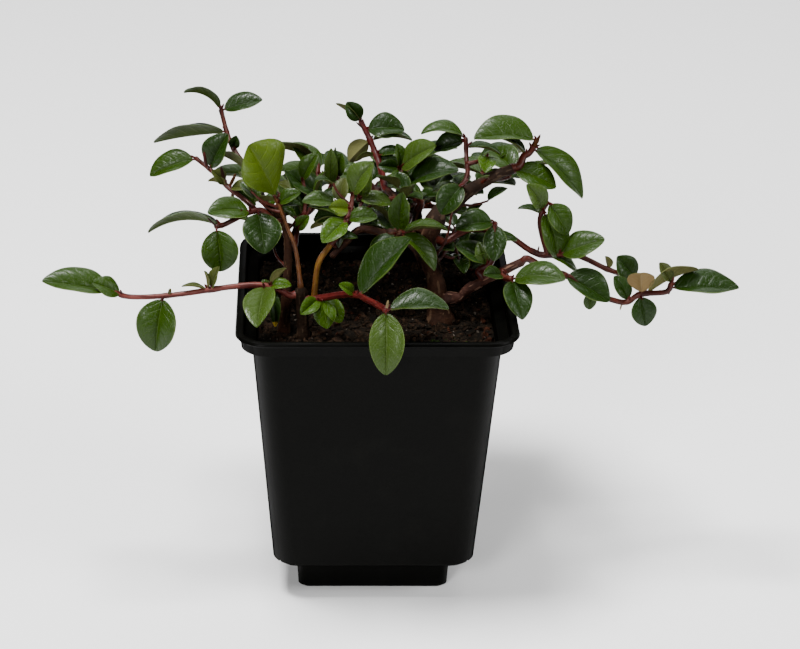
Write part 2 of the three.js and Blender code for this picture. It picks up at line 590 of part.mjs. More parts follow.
// The wall's half width and corner radius at a height, outside or set in by an amount
function wallRing(height, inset) {
  const share = (height - footHeight) / (potHeight - bandHeight - footHeight);
  const half = wallFootHalf + (wallTopHalf - wallFootHalf) * share;
  return squareRing(half - inset, wallCorner - inset, height);
}

function makePot() {
  const bandFoot = potHeight - bandHeight;
  const lipFoot = potHeight - lipHeight;
  const inner = bandHalf - wallThickness;
  const floor = footHeight + wallThickness;
  const rings = [
    squareRing(footHalf - 0.8, footCorner, 0),
    squareRing(footHalf, footCorner, 0.8),
    squareRing(footHalf + 0.6, footCorner, footHeight - 0.6),
    squareRing(footHalf + 1.2, footCorner, footHeight),
    squareRing(wallFootHalf - 0.9, wallCorner - 0.8, footHeight),
    squareRing(wallFootHalf, wallCorner, footHeight + 0.9),
    wallRing(bandFoot - 0.4, 0),
    squareRing(wallTopHalf + 0.7, wallCorner + 0.4, bandFoot),
    squareRing(bandHalf - 0.4, rimCorner - 1.5, bandFoot + 0.2),
    squareRing(bandHalf, rimCorner - 1.4, lipFoot - 0.2),
    squareRing(rimHalf - 0.3, rimCorner, lipFoot),
    squareRing(rimHalf, rimCorner, lipFoot + 0.5),
    squareRing(rimHalf - 0.4, rimCorner - 0.2, potHeight),
    squareRing(inner + 0.3, rimCorner - 2.2, potHeight),
    squareRing(inner - 0.1, rimCorner - 2.6, potHeight - 0.6),
    squareRing(inner - 0.3, rimCorner - 2.8, bandFoot + wallThickness),
    wallRing(bandFoot + 0.2, wallThickness),
    wallRing(floor + 1, wallThickness),
    squareRing(wallFootHalf - 2.2, wallCorner - 2, floor),
    squareRing(footHalf + 0.2, footCorner, floor),
    squareRing(footHalf - wallThickness, footCorner - 0.4, floor - 0.8),
    squareRing(footHalf - wallThickness - 0.4, footCorner - 0.4, wallThickness),
  ];
  let pot = toSolid(loft(rings));
  const drain = new THREE.CylinderGeometry(drainRadius, drainRadius, 10, 12).rotateX(90 * rad);
  for (const [x, y] of [[1, 1], [-1, 1], [-1, -1], [1, -1]]) {
    const hole = drain.clone().translate(x * drainPlace, y * drainPlace, footHeight);
    pot = pot.subtract(toSolid(hole));
  }
  return toGeometry(pot);
}

function makeSoil() {
  const floor = footHeight + wallThickness + touchGap;
  return loft([
    squareRing(footHalf - wallThickness - 0.9, footCorner - 0.6, wallThickness + touchGap),
    squareRing(footHalf - wallThickness - 0.5, footCorner - 0.6, floor),
    squareRing(wallFootHalf - 2.8, wallCorner - 2.4, floor + 0.1),
    wallRing(floor + 1.2, wallThickness + touchGap + 0.2),
    wallRing(soilLevel, wallThickness + touchGap + 0.2),
  ]);
}

function makeShoot(stem, leaves) {
  let solid = toSolid(tube(stem, stemSides));
  for (const twig of stem.twigs) solid = solid.add(toSolid(tube(twig, twigSides)));
  for (const pose of leaves) solid = solid.add(toSolid(leafSolid(pose)));
  return toGeometry(solid);
}

const plant = new THREE.Group();

function addPiece(name, geometry, finish) {
  const mesh = new THREE.Mesh(geometry, new THREE.MeshStandardMaterial(finish));
  mesh.name = name;
  plant.add(mesh);
}

const stems = growStems();
const leaves = growLeaves(stems);
addPiece('pot', makePot(), colours.potBlack);
addPiece('soil', makeSoil(), colours.peat);
for (const limb of limbs) addPiece(limb.name, tube(stems[limb.name], limbSides), colours.bark);
for (const shoot of shoots) {
  addPiece(shoot.name, makeShoot(stems[shoot.name], leaves[shoot.name]), colours.foliage);
}

export default plant;
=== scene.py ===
import bpy
import math
import numpy as np
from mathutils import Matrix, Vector, noise


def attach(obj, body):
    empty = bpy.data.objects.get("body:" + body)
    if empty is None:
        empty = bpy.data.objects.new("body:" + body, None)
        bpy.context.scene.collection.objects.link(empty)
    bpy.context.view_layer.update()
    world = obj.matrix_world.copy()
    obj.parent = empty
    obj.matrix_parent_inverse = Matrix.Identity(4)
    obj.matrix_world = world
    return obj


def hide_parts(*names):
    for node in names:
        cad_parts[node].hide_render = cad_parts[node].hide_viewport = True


# A creeping evergreen shrub with arching woody stems, in its square black nursery pot.
# Plant, soil and pot are written in millimetres, turned to metres by mm; camera, floor and lights in metres
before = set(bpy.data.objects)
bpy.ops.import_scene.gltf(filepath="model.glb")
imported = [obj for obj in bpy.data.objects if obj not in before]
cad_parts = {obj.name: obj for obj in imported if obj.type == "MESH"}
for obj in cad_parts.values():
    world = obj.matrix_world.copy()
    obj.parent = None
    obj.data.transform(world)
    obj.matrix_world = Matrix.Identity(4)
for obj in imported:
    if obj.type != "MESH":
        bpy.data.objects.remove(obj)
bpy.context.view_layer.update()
mm = 0.001
bpy.ops.object.select_all(action="DESELECT")
print("frame loaded")

cameraView = {
    "place": (-0.025, -0.73766, 0.43195), "tilt": 64.87, "sensor": 36, "lens": 110.8, "shift": 0.127,
}


def addCamera():
    tilt = math.radians(cameraView["tilt"])
    bpy.ops.object.camera_add(location=cameraView["place"], rotation=(tilt, 0, 0))
    camera = bpy.context.object
    camera.name = "photoCamera"
    camera.data.sensor_width = cameraView["sensor"]
    camera.data.lens = cameraView["lens"]
    camera.data.shift_x = cameraView["shift"]
    bpy.context.scene.camera = camera


addCamera()
print("camera in place")


# Node helpers: put joins a socket to another one or gives it a plain value
def put(tree, socket, value):
    if isinstance(value, bpy.types.NodeSocket):
        tree.links.new(value, socket)
    else:
        socket.default_value = value


def addMath(tree, operation, *values):
    node = tree.nodes.new("ShaderNodeMath")
    node.operation = operation
    for socket, value in zip(node.inputs, values):
        put(tree, socket, value)
    return node.outputs[0]


def addMix(tree, share, first, second, blend="MIX"):
    node = tree.nodes.new("ShaderNodeMix")
    node.data_type = "RGBA"
    node.blend_type = blend
    put(tree, node.inputs[0], share)
    put(tree, node.inputs[6], first)
    put(tree, node.inputs[7], second)
    return node.outputs[2]


def addNoise(tree, coords, scale, detail=2.0, roughness=0.5):
    node = tree.nodes.new("ShaderNodeTexNoise")
    put(tree, node.inputs["Vector"], coords)
    node.inputs["Scale"].default_value = scale
    node.inputs["Detail"].default_value = detail
    node.inputs["Roughness"].default_value = roughness
    return node.outputs["Fac"]


def addBand(tree, value, low, high, first=0.0, second=1.0):
    node = tree.nodes.new("ShaderNodeMapRange")
    node.interpolation_type = "SMOOTHSTEP"
    for socket, entry in zip(node.inputs, (value, low, high, first, second)):
        put(tree, socket, entry)
    return node.outputs[0]


def addCoords(tree, kind="Object"):
    return tree.nodes.new("ShaderNodeTexCoord").outputs[kind]


def makeGroup(name, inputs, outputs):
    tree = bpy.data.node_groups.new(name, "ShaderNodeTree")
    for title, kind, value in inputs:
        socket = tree.interface.new_socket(name=title, in_out="INPUT", socket_type=kind)
        socket.default_value = value
    for title, kind in outputs:
        tree.interface.new_socket(name=title, in_out="OUTPUT", socket_type=kind)
    return tree, tree.nodes.new("NodeGroupInput"), tree.nodes.new("NodeGroupOutput")


# gloss is how much light is reflected straight on, as a share of 8%, so that 0.5 is a common plastic
def makeMaterial(name, roughness, gloss):
    material = bpy.data.materials.new(name)
    material.use_nodes = True
    shader = material.node_tree.nodes["Principled BSDF"]
    shader.inputs["Roughness"].default_value = roughness
    straight = math.sqrt(0.08 * gloss)
    shader.inputs["IOR"].default_value = (1 + straight) / (1 - straight)
    return material, material.node_tree, shader


def placeGroup(tree, group, values):
    node = tree.nodes.new("ShaderNodeGroup")
    node.node_tree = group
    for title, value in values.items():
        put(tree, node.inputs[title], value)
    return node


def addBump(tree, shader, height, strength, distance):
    bump = tree.nodes.new("ShaderNodeBump")
    bump.inputs["Strength"].default_value = strength
    bump.inputs["Distance"].default_value = distance
    put(tree, bump.inputs["Height"], height)
    put(tree, shader.inputs["Normal"], bump.outputs[0])


# Leaves and wood each have one shared group, which puts out these three
skinOutputs = [("Color", "NodeSocketColor"), ("Roughness", "NodeSocketFloat"), ("Height", "NodeSocketFloat")]


def skinMaterial(name, group, values, roughness, gloss, relief, depth):
    material, tree, shader = makeMaterial(name, roughness, gloss)
    node = placeGroup(tree, group, {**values, "Roughness": roughness})
    tree.links.new(node.outputs["Color"], shader.inputs["Base Color"])
    tree.links.new(node.outputs["Roughness"], shader.inputs["Roughness"])
    addBump(tree, shader, node.outputs["Height"], relief, depth)
    return material


# Leaf skin, used by every leaf tint: side veins drawn on the leaf's own map, mottling from its place
def makeLeafSkin():
    tree, given, out = makeGroup("leafSkin", [
        ("Tint", "NodeSocketColor", (0.03, 0.06, 0.01, 1)),
        ("Vein Tint", "NodeSocketColor", (0.06, 0.1, 0.02, 1)), ("Vein Share", "NodeSocketFloat", 0.35),
        ("Mottle", "NodeSocketFloat", 0.3), ("Roughness", "NodeSocketFloat", 0.35)], skinOutputs)
    uv = tree.nodes.new("ShaderNodeSeparateXYZ")
    tree.links.new(addCoords(tree, "UV"), uv.inputs[0])
    across = addMath(tree, "ABSOLUTE", addMath(tree, "MULTIPLY_ADD", uv.outputs[0], 2.0, -1.0))
    lag = addMath(tree, "ADD", addMath(tree, "MULTIPLY", across, leaf["veinLag"]),
                  addMath(tree, "MULTIPLY", addMath(tree, "POWER", across, 2.0), leaf["veinCurve"]))
    phase = addMath(tree, "MULTIPLY", addMath(tree, "SUBTRACT", uv.outputs[1], lag), float(leaf["veins"]))
    offset = addMath(tree, "ABSOLUTE", addMath(tree, "SUBTRACT", addMath(tree, "FRACT", phase), 0.5))
    sideVein = addBand(tree, offset, 0.40, 0.5)
    fade = addBand(tree, across, 0.95, 0.55)
    midrib = addBand(tree, across, 0.075, 0.01)
    faded = addMath(tree, "MULTIPLY", sideVein, fade)
    vein = addMath(tree, "MAXIMUM", addMath(tree, "MULTIPLY", faded, 0.75), midrib)
    place = addCoords(tree)
    mottle = addNoise(tree, place, leaf["mottleScale"], 3.0, 0.6)
    patch = addNoise(tree, place, leaf["patchScale"], 1.0)
    net = tree.nodes.new("ShaderNodeTexVoronoi")
    net.feature = "DISTANCE_TO_EDGE"
    net.inputs["Scale"].default_value = leaf["netScale"]
    tree.links.new(place, net.inputs["Vector"])
    netLine = addBand(tree, net.outputs[0], 0.10, 0.0)
    cloud = addMath(tree, "MULTIPLY_ADD", mottle, 0.55, addMath(tree, "MULTIPLY", patch, 0.45))
    lowest = addMath(tree, "MULTIPLY_ADD", given.outputs["Mottle"], -0.5, 1.0)
    lightness = addMath(tree, "MULTIPLY_ADD", cloud, given.outputs["Mottle"], lowest)
    shade = tree.nodes.new("ShaderNodeCombineColor")
    for socket in shade.inputs[:3]:
        tree.links.new(lightness, socket)
    ground = addMix(tree, 1.0, given.outputs["Tint"], shade.outputs[0], "MULTIPLY")
    ground = addMix(tree, addMath(tree, "MULTIPLY", netLine, 0.12), ground, given.outputs["Vein Tint"])
    veinShare = addMath(tree, "MULTIPLY", vein, given.outputs["Vein Share"])
    colour = addMix(tree, veinShare, ground, given.outputs["Vein Tint"])
    tree.links.new(colour, out.inputs["Color"])
    unevenness = addMath(tree, "SUBTRACT", mottle, 0.5)
    rough = addMath(tree, "MULTIPLY_ADD", unevenness, 0.15, given.outputs["Roughness"])
    tree.links.new(rough, out.inputs["Roughness"])
    sunk = addMath(tree, "MULTIPLY_ADD", vein, 0.5, addMath(tree, "MULTIPLY", netLine, 0.16))
    height = addMath(tree, "SUBTRACT", addMath(tree, "MULTIPLY", mottle, 0.16), sunk)
    tree.links.new(height, out.inputs["Height"])
    return tree


# Growth and touching first, then the mesh of a blade, then its look. A pair is the least value and the range
# of the seeded draw
leaf = {
    "petiole": 1.2, "petioleShare": 0.08, "breadth": 0.74, "fullness": 0.7,
    "breadthDraw": (0.95, 0.1), "bendDraw": (0.35, 0.6), "foldDraw": (0.2, 0.22),
    "swings": (0, 16, -16, 32, -32, 48), "pointSpread": 0.085, "checkFrom": 0.24, "checkReach": 0.75,
    "checkRows": 7, "checkAcross": (-0.85, -0.42, 0, 0.42, 0.85), "rootRows": 3, "siblingShare": 0.6,
    "thick": 0.3, "stations": 30, "across": (0, 0.045, 0.12, 0.25, 0.4, 0.55, 0.7, 0.83, 0.94, 1.0),
    "fineStations": 15, "fineAcross": (0, 0.1, 0.35, 0.65, 0.9, 1.0), "evenShare": 0.45, "tipGap": 0.006,
    "veins": 6, "veinLag": 0.22, "veinCurve": 0.07, "veinWidth": 0.3, "relief": 0.011,
    "groove": 0.05, "grooveWidth": 0.07, "ribRise": 0.34, "ribWidth": 0.06, "fullLength": 16,
    "fold": 1.2, "crease": 0.04, "roll": 0.07, "rollDraw": (0.6, 0.8), "bulge": 0.1,
    "wave": 0.035, "waves": 1.6, "sway": 0.03,
    "mottleScale": 420.0, "patchScale": 55.0, "netScale": 1150.0, "mottle": 0.42,
    "grain": 0.7, "grainDepth": 0.0003, "gloss": 0.16, "underShine": 0.4,
    # The rim's tint and its share: a pale thin margin, partly the leaf's fine hairs and partly a painted
    # highlight where its curled edge catches the light
    "rimHairAndHighlightTint": (0.095, 0.145, 0.02), "rimHairAndHighlightShare": 0.32, "rimShine": 1.6,
}
# Tints, dealt out by leaf: upper colour, vein colour, how much the veins show, roughness, under side. A leaf
# of tint t has begun to yellow, and its tip has tint a
darkLook = ((0.0066, 0.0192, 0.0008), (0.017, 0.038, 0.002), 0.35, 0.29)
tints = {
    "d": (*darkLook, "green"),
    "t": (*darkLook, "green"),
    "a": ((0.270, 0.170, 0.006), (0.30, 0.20, 0.02), 0.2, 0.35, "pale"),
    # k: as d, but with a darker under side, painted shade for leaves that lean back or hang over in the shade
    "k": (*darkLook, "dark"),
    "m": ((0.0138, 0.0330, 0.0012), (0.032, 0.062, 0.004), 0.4, 0.29, "green"),
    # l: a lighter grey-green, partly a dusty bloom and partly painted sheen where a leaf catches the light
    "l": ((0.0270, 0.0500, 0.0060), (0.055, 0.085, 0.016), 0.35, 0.27, "green"),
    "g": ((0.0250, 0.0570, 0.0014), (0.050, 0.096, 0.004), 0.45, 0.28, "green"),
    "y": ((0.0470, 0.0780, 0.0026), (0.082, 0.122, 0.009), 0.45, 0.32, "pale"),
    # o: olive, partly the leaf's own colour and partly painted light shining through the leaf from behind
    "o": ((0.0320, 0.0400, 0.0062), (0.056, 0.066, 0.015), 0.4, 0.40, "pale"),
    "p": ((0.125, 0.120, 0.040), (0.17, 0.165, 0.07), 0.4, 0.5, "pale"),
    "b": ((0.110, 0.072, 0.024), (0.15, 0.115, 0.05), 0.4, 0.5, "pink"),
}
unders = {
    # dark: an under side painted darker as shade, used by the k leaves
    "dark": ((0.026, 0.042, 0.007), (0.055, 0.065, 0.016), 0.5, 0.45),
    "green": ((0.055, 0.060, 0.016), (0.09, 0.09, 0.034), 0.5, 0.5),
    "pale": ((0.088, 0.087, 0.028), (0.13, 0.125, 0.052), 0.5, 0.5),
    "pink": ((0.135, 0.090, 0.036), (0.18, 0.13, 0.065), 0.5, 0.5),
}


def leafMaterial(name, skin, tint, vein, veinShare, roughness, shine=1):
    values = {"Tint": (*tint, 1), "Vein Tint": (*vein, 1), "Vein Share": veinShare, "Mottle": leaf["mottle"]}
    gloss = shine * leaf["gloss"]
    return skinMaterial(name, skin, values, roughness, gloss, leaf["grain"], leaf["grainDepth"])


def makeLeafMaterials():
    skin = makeLeafSkin()
    made = {}
    for key, look in tints.items():
        made[key] = leafMaterial("leafUpper_" + key, skin, *look[:4])
        # Rim materials: each tint mixed toward the pale margin colour, partly fine hairs and partly painted
        # highlight
        rim = [c + (r - c) * leaf["rimHairAndHighlightShare"] for c, r in zip(look[0], leaf["rimHairAndHighlightTint"])]
        made["rim_" + key] = leafMaterial("leafRimHairAndHighlight_" + key, skin, rim, rim, 0.0, look[3], leaf["rimShine"])
    for key, look in unders.items():
        made["under_" + key] = leafMaterial("leafUnder_" + key, skin, *look, leaf["underShine"])
    return made


# The limbs, as the solids have them. on: the limb that carries it and how far along; through: points it grows
# through; thick: radius at its start and end; flare: how much wider its foot is; bark: its colour; rough: how
# strong its bark is; slim: how much thinner it is drawn
limbs = [
    {"name": "trunk_left", "bark": "umber", "flare": 0.4, "thick": (1.6, 1.2),
     "through": [(-29.6, -17.5, 91.8), (-28.8, -11, 103), (-28.3, -3, 114), (-29.5, 3, 120),
       (-34.5, 9, 124)]},
    {"name": "trunk_right", "bark": "warm", "flare": 0.6, "thick": (3.1, 2.7),
     "through": [(21.6, -8.4, 91.8), (19.4, -5, 105), (17, 0, 114), (19.3, 4, 120)]},
    # The stub's bark colour is dark brown, painted darker still as shade
    {"name": "stub", "bark": "dusk", "flare": 0.2, "thick": (1.8, 2.0),
     "through": [(-23.4, -21, 91.8), (-23.8, -19, 99), (-24.2, -17.5, 106)]},
    {"name": "bough_bright", "slim": 0.85, "bark": "orange", "on": ("stub", 1), "thick": (0.85, 0.7),
     "through": [(-25.8, -8, 116), (-28.1, -2, 120.3), (-30, 2, 124)]},
    {"name": "bough_yellow", "slim": 0.82, "bark": "yellow", "on": ("stub", 0.8), "thick": (1.2, 1.1),
     "through": [(-18.7, -12, 112.7), (-14.8, -8, 118)]},
    {"name": "bough_low_east", "rough": 2.1, "bark": "rosy", "on": ("trunk_right", 0.2),
     "thick": (1.7, 1.3),
     "through": [(30, -8.5, 102.5), (36, -9.5, 106.8), (41.7, -10, 110), (47, -10, 113)]},
    {"name": "bough_middle", "bark": "brown", "on": ("trunk_right", 0.8), "thick": (1.6, 1.0),
     "through": [(11.7, 3, 118.6), (6.4, 0, 117.7), (-4.2, 4, 118.5), (-9.8, 0, 115.3), (-14, -3, 112)]},
    {"name": "bough_east_high", "on": ("trunk_right", 1), "thick": (2.5, 1.7),
     "through": [(25, 6, 125.5), (31, 8, 130.6), (37.5, 10, 134), (44.7, 12, 136.4)]},
    {"name": "bough_crown", "bark": "brown", "on": ("trunk_right", 0.92), "thick": (1.7, 1.2),
     "through": [(14, 10, 121.4), (9.5, 18, 122), (5, 29, 122)]},
    {"name": "bough_back", "bark": "brown", "on": ("trunk_right", 0.55), "thick": (1.6, 1.2),
     "through": [(14, 8, 109), (9, 24, 110), (4, 40, 112)]},
]

# The shoots. skin: their colour; leaves: how far along the stem, where the tip points as the hour on a clock
# seen from the front, length, how far the blade turns to the sky in degrees, how far it leans to the viewer,
# and where it matters how broad it is, how far it bends and how near the tip it is widest; tints: a letter
# for each of these leaves; twigs: side shoots, and how far along each one starts; more and twigCount: leaves
# and twigs that the seeded rule adds
shoots = [
    {"name": "foliage_west_runner", "skin": "pinkish", "seed": 11, "on": ("stub", 0.93),
     "thick": (0.85, 0.7),
     "through": [(-35, -18, 108), (-44.4, -18, 108), (-65.6, -18, 104.8), (-79, -18, 104.2),
       (-84.5, -18, 106.2)],
     "tints": "mmmltgdoooom", "leaves": [(1, 9.3, 23, 76, 0, 0.92, 0.2), (0.95, 10, 10.5, 65, 10, 1.15),
       (0.72, 6.3, 18.5, 80, 14, 1.12), (0.17, 6.75, 20.5, 80, 25, 0.85), (0.12, 5.9, 12.5, 45, 30, 0.5),
       (0.15, 2.8, 7.5, 65, 8), (0.19, 6.9, 15, 78, 2, 0.7), (0.48, 9.3, 8.5, 105, 0, 1, 0.8),
       (0.46, 0.6, 8.5, 80, 0), (0.48, 11.7, 6.5, 100, -10), (0.13, 1.2, 8, 125, -8, 1, 0.9),
       (0.14, 10.2, 3.5, 60, -12)]},
    {"name": "foliage_front", "skin": "crimson", "seed": 12, "on": ("stub", 0.8), "thick": (1.0, 0.85),
     "through": [(-17.5, -20, 104.7), (-8, -26, 108.8), (-2.5, -34, 110), (2.4, -42, 110.7)],
     "tints": "lddgggg", "leaves": [(0.99, 6, 20.5, 45, 24, 0.88), (1, 2.9, 19.5, 85, 5, 1, 0.5),
       (0.56, 1.4, 25, 85, -8, 1, 0.3), (0.1, 8.1, 8.5, 35, 40, 1), (0.13, 5.6, 10, 45, 30, 1.1),
       (0.14, 4.7, 10, 60, 14, 1.1), (0.5, 10.3, 6.5, 55, 8, 1.1)]},
    {"name": "foliage_west_low", "skin": "red", "seed": 13, "on": ("trunk_left", 0.84),
     "thick": (0.85, 0.7),
     "through": [(-37, 4, 125), (-42.4, 2, 124.6), (-48.4, -3, 123.3), (-51.5, -6, 123.6)],
     "tints": "kmdm", "leaves": [(0.91, 8.8, 24, 110, 0, 1, 1.2), (1, 5.8, 15, 45, 10, 1.3),
       (0.35, 5.6, 15, 65, 10, 1.3), (0.43, 9.2, 15, 65, 18)]},
    {"name": "foliage_west_mid", "skin": "red", "seed": 14, "on": ("trunk_left", 0.93),
     "thick": (0.8, 0.6),
     "through": [(-42.6, 14, 124.6), (-47.9, 18, 127.3), (-53.4, 24, 130.6), (-59.2, 30, 133.2)],
     "tints": "mdoooom", "leaves": [(0.99, 8.3, 17, 70, 0, 1.05, 0.6), (0.82, 0.9, 14, 65, 0, 1.15),
       (0.55, 3.4, 15.5, 115, 0, 1, 1.5), (0.6, 10.7, 7, 55, 12, 1.1), (0.56, 9.6, 7, 135, 0),
       (0.54, 2.8, 9, 70, -12), (0.53, 4.2, 10.5, 70, -6)]},
    {"name": "foliage_west_high", "skin": "red", "seed": 15, "on": ("trunk_left", 1), "thick": (0.9, 0.65),
     "through": [(-39.4, 20, 129.3), (-46, 30, 135.4), (-48.6, 36, 139), (-51, 42, 145.8)],
     "tints": "dkkddd", "leaves": [(1, 2.5, 14.5, 70, 0, 0.98, 0.25), (1, 9.9, 14, 110, 0, 1, 1.5),
       (0.82, 8.7, 25, 110, 0, 1, 0.35), (0.64, 0.3, 5, 45, 0, 1.2), (0.38, 9.8, 12.5, 125, 4),
       (0.38, 11.6, 5, 80, -6)]},
    {"name": "foliage_bright", "skin": "orange", "seed": 16, "on": ("bough_bright", 1),
     "thick": (0.75, 0.6),
     "through": [(-31, 4, 126), (-32.3, 6, 128.5)],
     "tints": "ymdk", "leaves": [(0.97, 11.2, 21.5, 65, 5, 1.4, 0.4, 1.6), (0.69, 2.0, 8.5, 60, 5, 1.05),
       (0.89, 8.8, 7.5, 135, -4), (0.5, 3.2, 8, 80, -22, 1.1)]},
    {"name": "foliage_centre", "skin": "red", "seed": 17, "on": ("bough_yellow", 1), "thick": (0.9, 0.6),
     "through": [(-11, -5, 122), (-8.3, -1, 127), (-7.5, 2, 131)],
     "tints": "gmydoldkk", "leaves": [(0.55, 8.0, 12.5, 55, 42, 1.05), (0.55, 2.8, 10, 60, 5, 1.05),
       (0.76, 9.3, 7.5, 30, 14, 1.2), (0.51, 6.5, 9.5, 70, -14), (0.56, 8.3, 13, 120, -12),
       (1, 1.0, 13.5, 70, 0, 1.15), (0.6, 9.2, 14, 100, -25, 1.2), (0.15, 3.3, 8, 80, -20, 1.1),
       (0.6, 8.5, 13, 60, -30, 1.1)],
     "twigs": [
        {"at": 0.75, "thick": (0.55, 0.45),
         "through": [(-10.2, 1.5, 127.8), (-12.5, 1, 128.9)],
         "tints": "m", "leaves": [(1, 9.2, 11.5, 70, -8)]}]},
    {"name": "foliage_middle", "skin": "brown", "seed": 18, "on": ("bough_middle", 0.36),
     "thick": (1.0, 0.8),
     "through": [(7, -2.5, 119.5), (8, -5, 121)],
     "tints": "mdmmd", "leaves": [(0.82, 0.1, 15, 80, 5, 0.78, 0.3), (0.68, 7.6, 12.5, 85, 26),
       (1, 4.5, 16.5, 90, 20, 1), (1, 2.9, 15.5, 100, 0, 1, 0.9), (0.6, 5.3, 20.5, 90, 0)]},
    {"name": "foliage_east_top", "skin": "red", "seed": 19, "on": ("bough_east_high", 1),
     "thick": (1.2, 0.7),
     "through": [(48.8, 15, 139.8), (50.8, 16, 140.6), (53.1, 18, 144.2)],
     "tints": "mmmdd", "leaves": [(1, 9.1, 21, 75, 5, 1.1, 0.7), (0.78, 4.5, 24, 80, 6, 0.92, 0.5),
       (0, 3.7, 15.5, 65, 12, 1.1, 0.6), (0.55, 10, 11, 90, -6), (0.07, 4.5, 14, 80, -10)]},
    {"name": "foliage_east_arch", "seed": 20, "on": ("bough_east_high", 0.38), "thick": (0.85, 0.6),
     "through": [(30.4, 16, 132), (30.6, 24, 136), (30.5, 28, 141)],
     "tints": "mdddd", "leaves": [(1, 9.2, 15, 85, 0, 1, 1.3), (0.96, 8.4, 11, 60, -6, 1.1, 0.9),
       (0.88, 3.4, 12, 95, 0, 1, 0.9), (0.19, 7.8, 12.5, 40, 48, 1), (0.32, 3.8, 10, 90, -5, 1, 0.8)],
     "twigs": [
        {"at": 0.62, "thick": (0.6, 0.45),
         "through": [(34.3, 20, 136), (37, 17, 139)],
         "tints": "g", "leaves": [(1, 7, 9.5, 45, 58, 1.05)]},
        {"at": 0.12, "thick": (0.5, 0.4),
         "through": [(29.5, 3, 136), (27.9, -2, 136.7)],
         "tints": "d", "leaves": [(1, 7.3, 12, 55, 20, 1.15)]}]},
    {"name": "foliage_crown_right", "seed": 21, "on": ("bough_crown", 0.3), "thick": (1.0, 0.8),
     "through": [(12.1, 16, 125.6), (10.3, 22, 128.5), (8.8, 26, 131.2)],
     "tints": "lddomm", "leaves": [(1, 1.6, 16.5, 70, 5, 1), (0.64, 2.3, 18.5, 75, 10, 1.05),
       (1, 9.3, 7.5, 30, 5, 1.1), (0.93, 2.1, 10.5, 125, -8), (1, 11.7, 8.5, 90, -8),
       (1, 6.1, 9.5, 45, 8)]},
    {"name": "foliage_crown_middle", "seed": 22, "on": ("bough_crown", 0.66), "thick": (0.9, 0.65),
     "more": 1,
     "through": [(3, 13, 124.5), (-5.5, 10, 126.5)],
     "tints": "llmd", "leaves": [(0.94, 0.4, 14, 75, 2, 1.1), (0.99, 3.2, 11, 70, 10, 1),
       (0.92, 4.4, 14, 100, 0), (1, 10.4, 9, 80, 0, 1)]},
    {"name": "foliage_crown_top", "skin": "crimson", "seed": 23, "on": ("bough_crown", 1),
     "thick": (1.2, 0.75),
     "through": [(2.8, 45, 124.8), (-0.5, 52, 131.3), (-3.6, 56, 136.7)],
     "tints": "ddddodol", "leaves": [(1, 10.8, 8.5, 30, 0, 1.2), (0.9, 3, 13.5, 55, 0, 1.2),
       (0.78, 3, 14.5, 100, 0, 1, 0.9), (0.59, 3.8, 9, 65, 10), (0.78, 7.7, 10.5, 170, 25, 1.1),
       (0.61, 2.7, 9, 75, -2, 1, 0.7), (1, 10.1, 10.5, 110, -14, 1, 0.3), (0.61, 8.6, 7, 135, 10)]},
    {"name": "foliage_crown_left", "seed": 24, "on": ("trunk_left", 0.66), "thick": (1.1, 0.75), "more": 2,
     "through": [(-25, 10, 118.5), (-19, 22, 121), (-18.5, 34, 131)],
     "tints": "ddg", "leaves": [(1, 9.5, 19, 115, 0, 1, 0.7), (0.39, 11.2, 16.5, 75, 12),
       (0.22, 1.3, 7, 40, 10, 1.05)],
     "twigs": [
        {"at": 0.55, "thick": (0.65, 0.5),
         "through": [(-16, 23, 122.6), (-13.8, 26, 125.6), (-11.5, 28, 127)],
         "tints": "lddm", "leaves": [(0.71, 12, 14, 45, 5, 0.52), (0.4, 10.1, 16.5, 60, 10, 1, 0.4),
           (0.82, 0.1, 12, 45, -10, 0.3), (1, 0.2, 8.5, 85, -6)]},
        {"at": 0.4, "thick": (0.55, 0.45),
         "through": [(-22.5, 17, 124), (-23.5, 20, 129)],
         "tints": "m", "leaves": [(1, 0.9, 10.5, 70, -4, 1)]}]},
    {"name": "foliage_east_inner", "seed": 25, "on": ("bough_low_east", 0.5), "thick": (0.9, 0.7),
     "through": [(37.5, -9, 113), (38.5, -4, 124)],
     "tints": "dddldkd", "leaves": [(1, 8.8, 13, 62, 5, 1.2, 0.8), (1, 6.1, 12.5, 60, 34, 0.92),
       (0.77, 3.4, 8, 75, -12), (0.27, 11.3, 8.5, 45, -8, 1.05), (0.49, 1.5, 6, 75, -20),
       (0.3, 9.9, 12.5, 80, -20, 1.3), (0.55, 8.2, 11, 80, -12, 1.2)]},
    {"name": "foliage_east_node", "seed": 26, "on": ("bough_low_east", 0.75), "thick": (0.9, 0.8),
     "through": [(43.4, -16, 109.6)],
     "tints": "dmd", "leaves": [(1, 5.4, 15.5, 65, 22, 1), (1, 2.7, 18, 75, 5, 1, 0.7),
       (0, 9.6, 9, 70, 5)]},
    {"name": "foliage_east_runner", "skin": "red", "seed": 27, "on": ("trunk_right", 0.86),
     "thick": (1.0, 0.7),
     "through": [(31, 5, 118), (42.5, 4, 116.7), (53.2, 0, 111.4), (65.3, 0, 111), (76, 0, 106),
       (86, 2, 101.5)],
     "tints": "mdoodm", "leaves": [(0.6, 2.2, 16, 65, 8, 1.05, 0.4), (1, 10.7, 10.5, 45, 0, 1.2),
       (0.85, 11.5, 5, 105, 0, 1, 1.2), (0.56, 11.3, 5.5, 75, 0), (0.16, 6.7, 6.5, 75, 0),
       (0.54, 4.2, 14.5, 80, -12)],
     "twigs": [
        {"at": 0.55, "thick": (0.75, 0.55),
         "through": [(54.4, 2, 117.2), (53.6, 3, 122.8), (56.1, 4, 128)],
         "tints": "mmld", "leaves": [(0.82, 5.4, 16.5, 85, 16, 1), (1, 4.9, 12.5, 60, 14, 1.05),
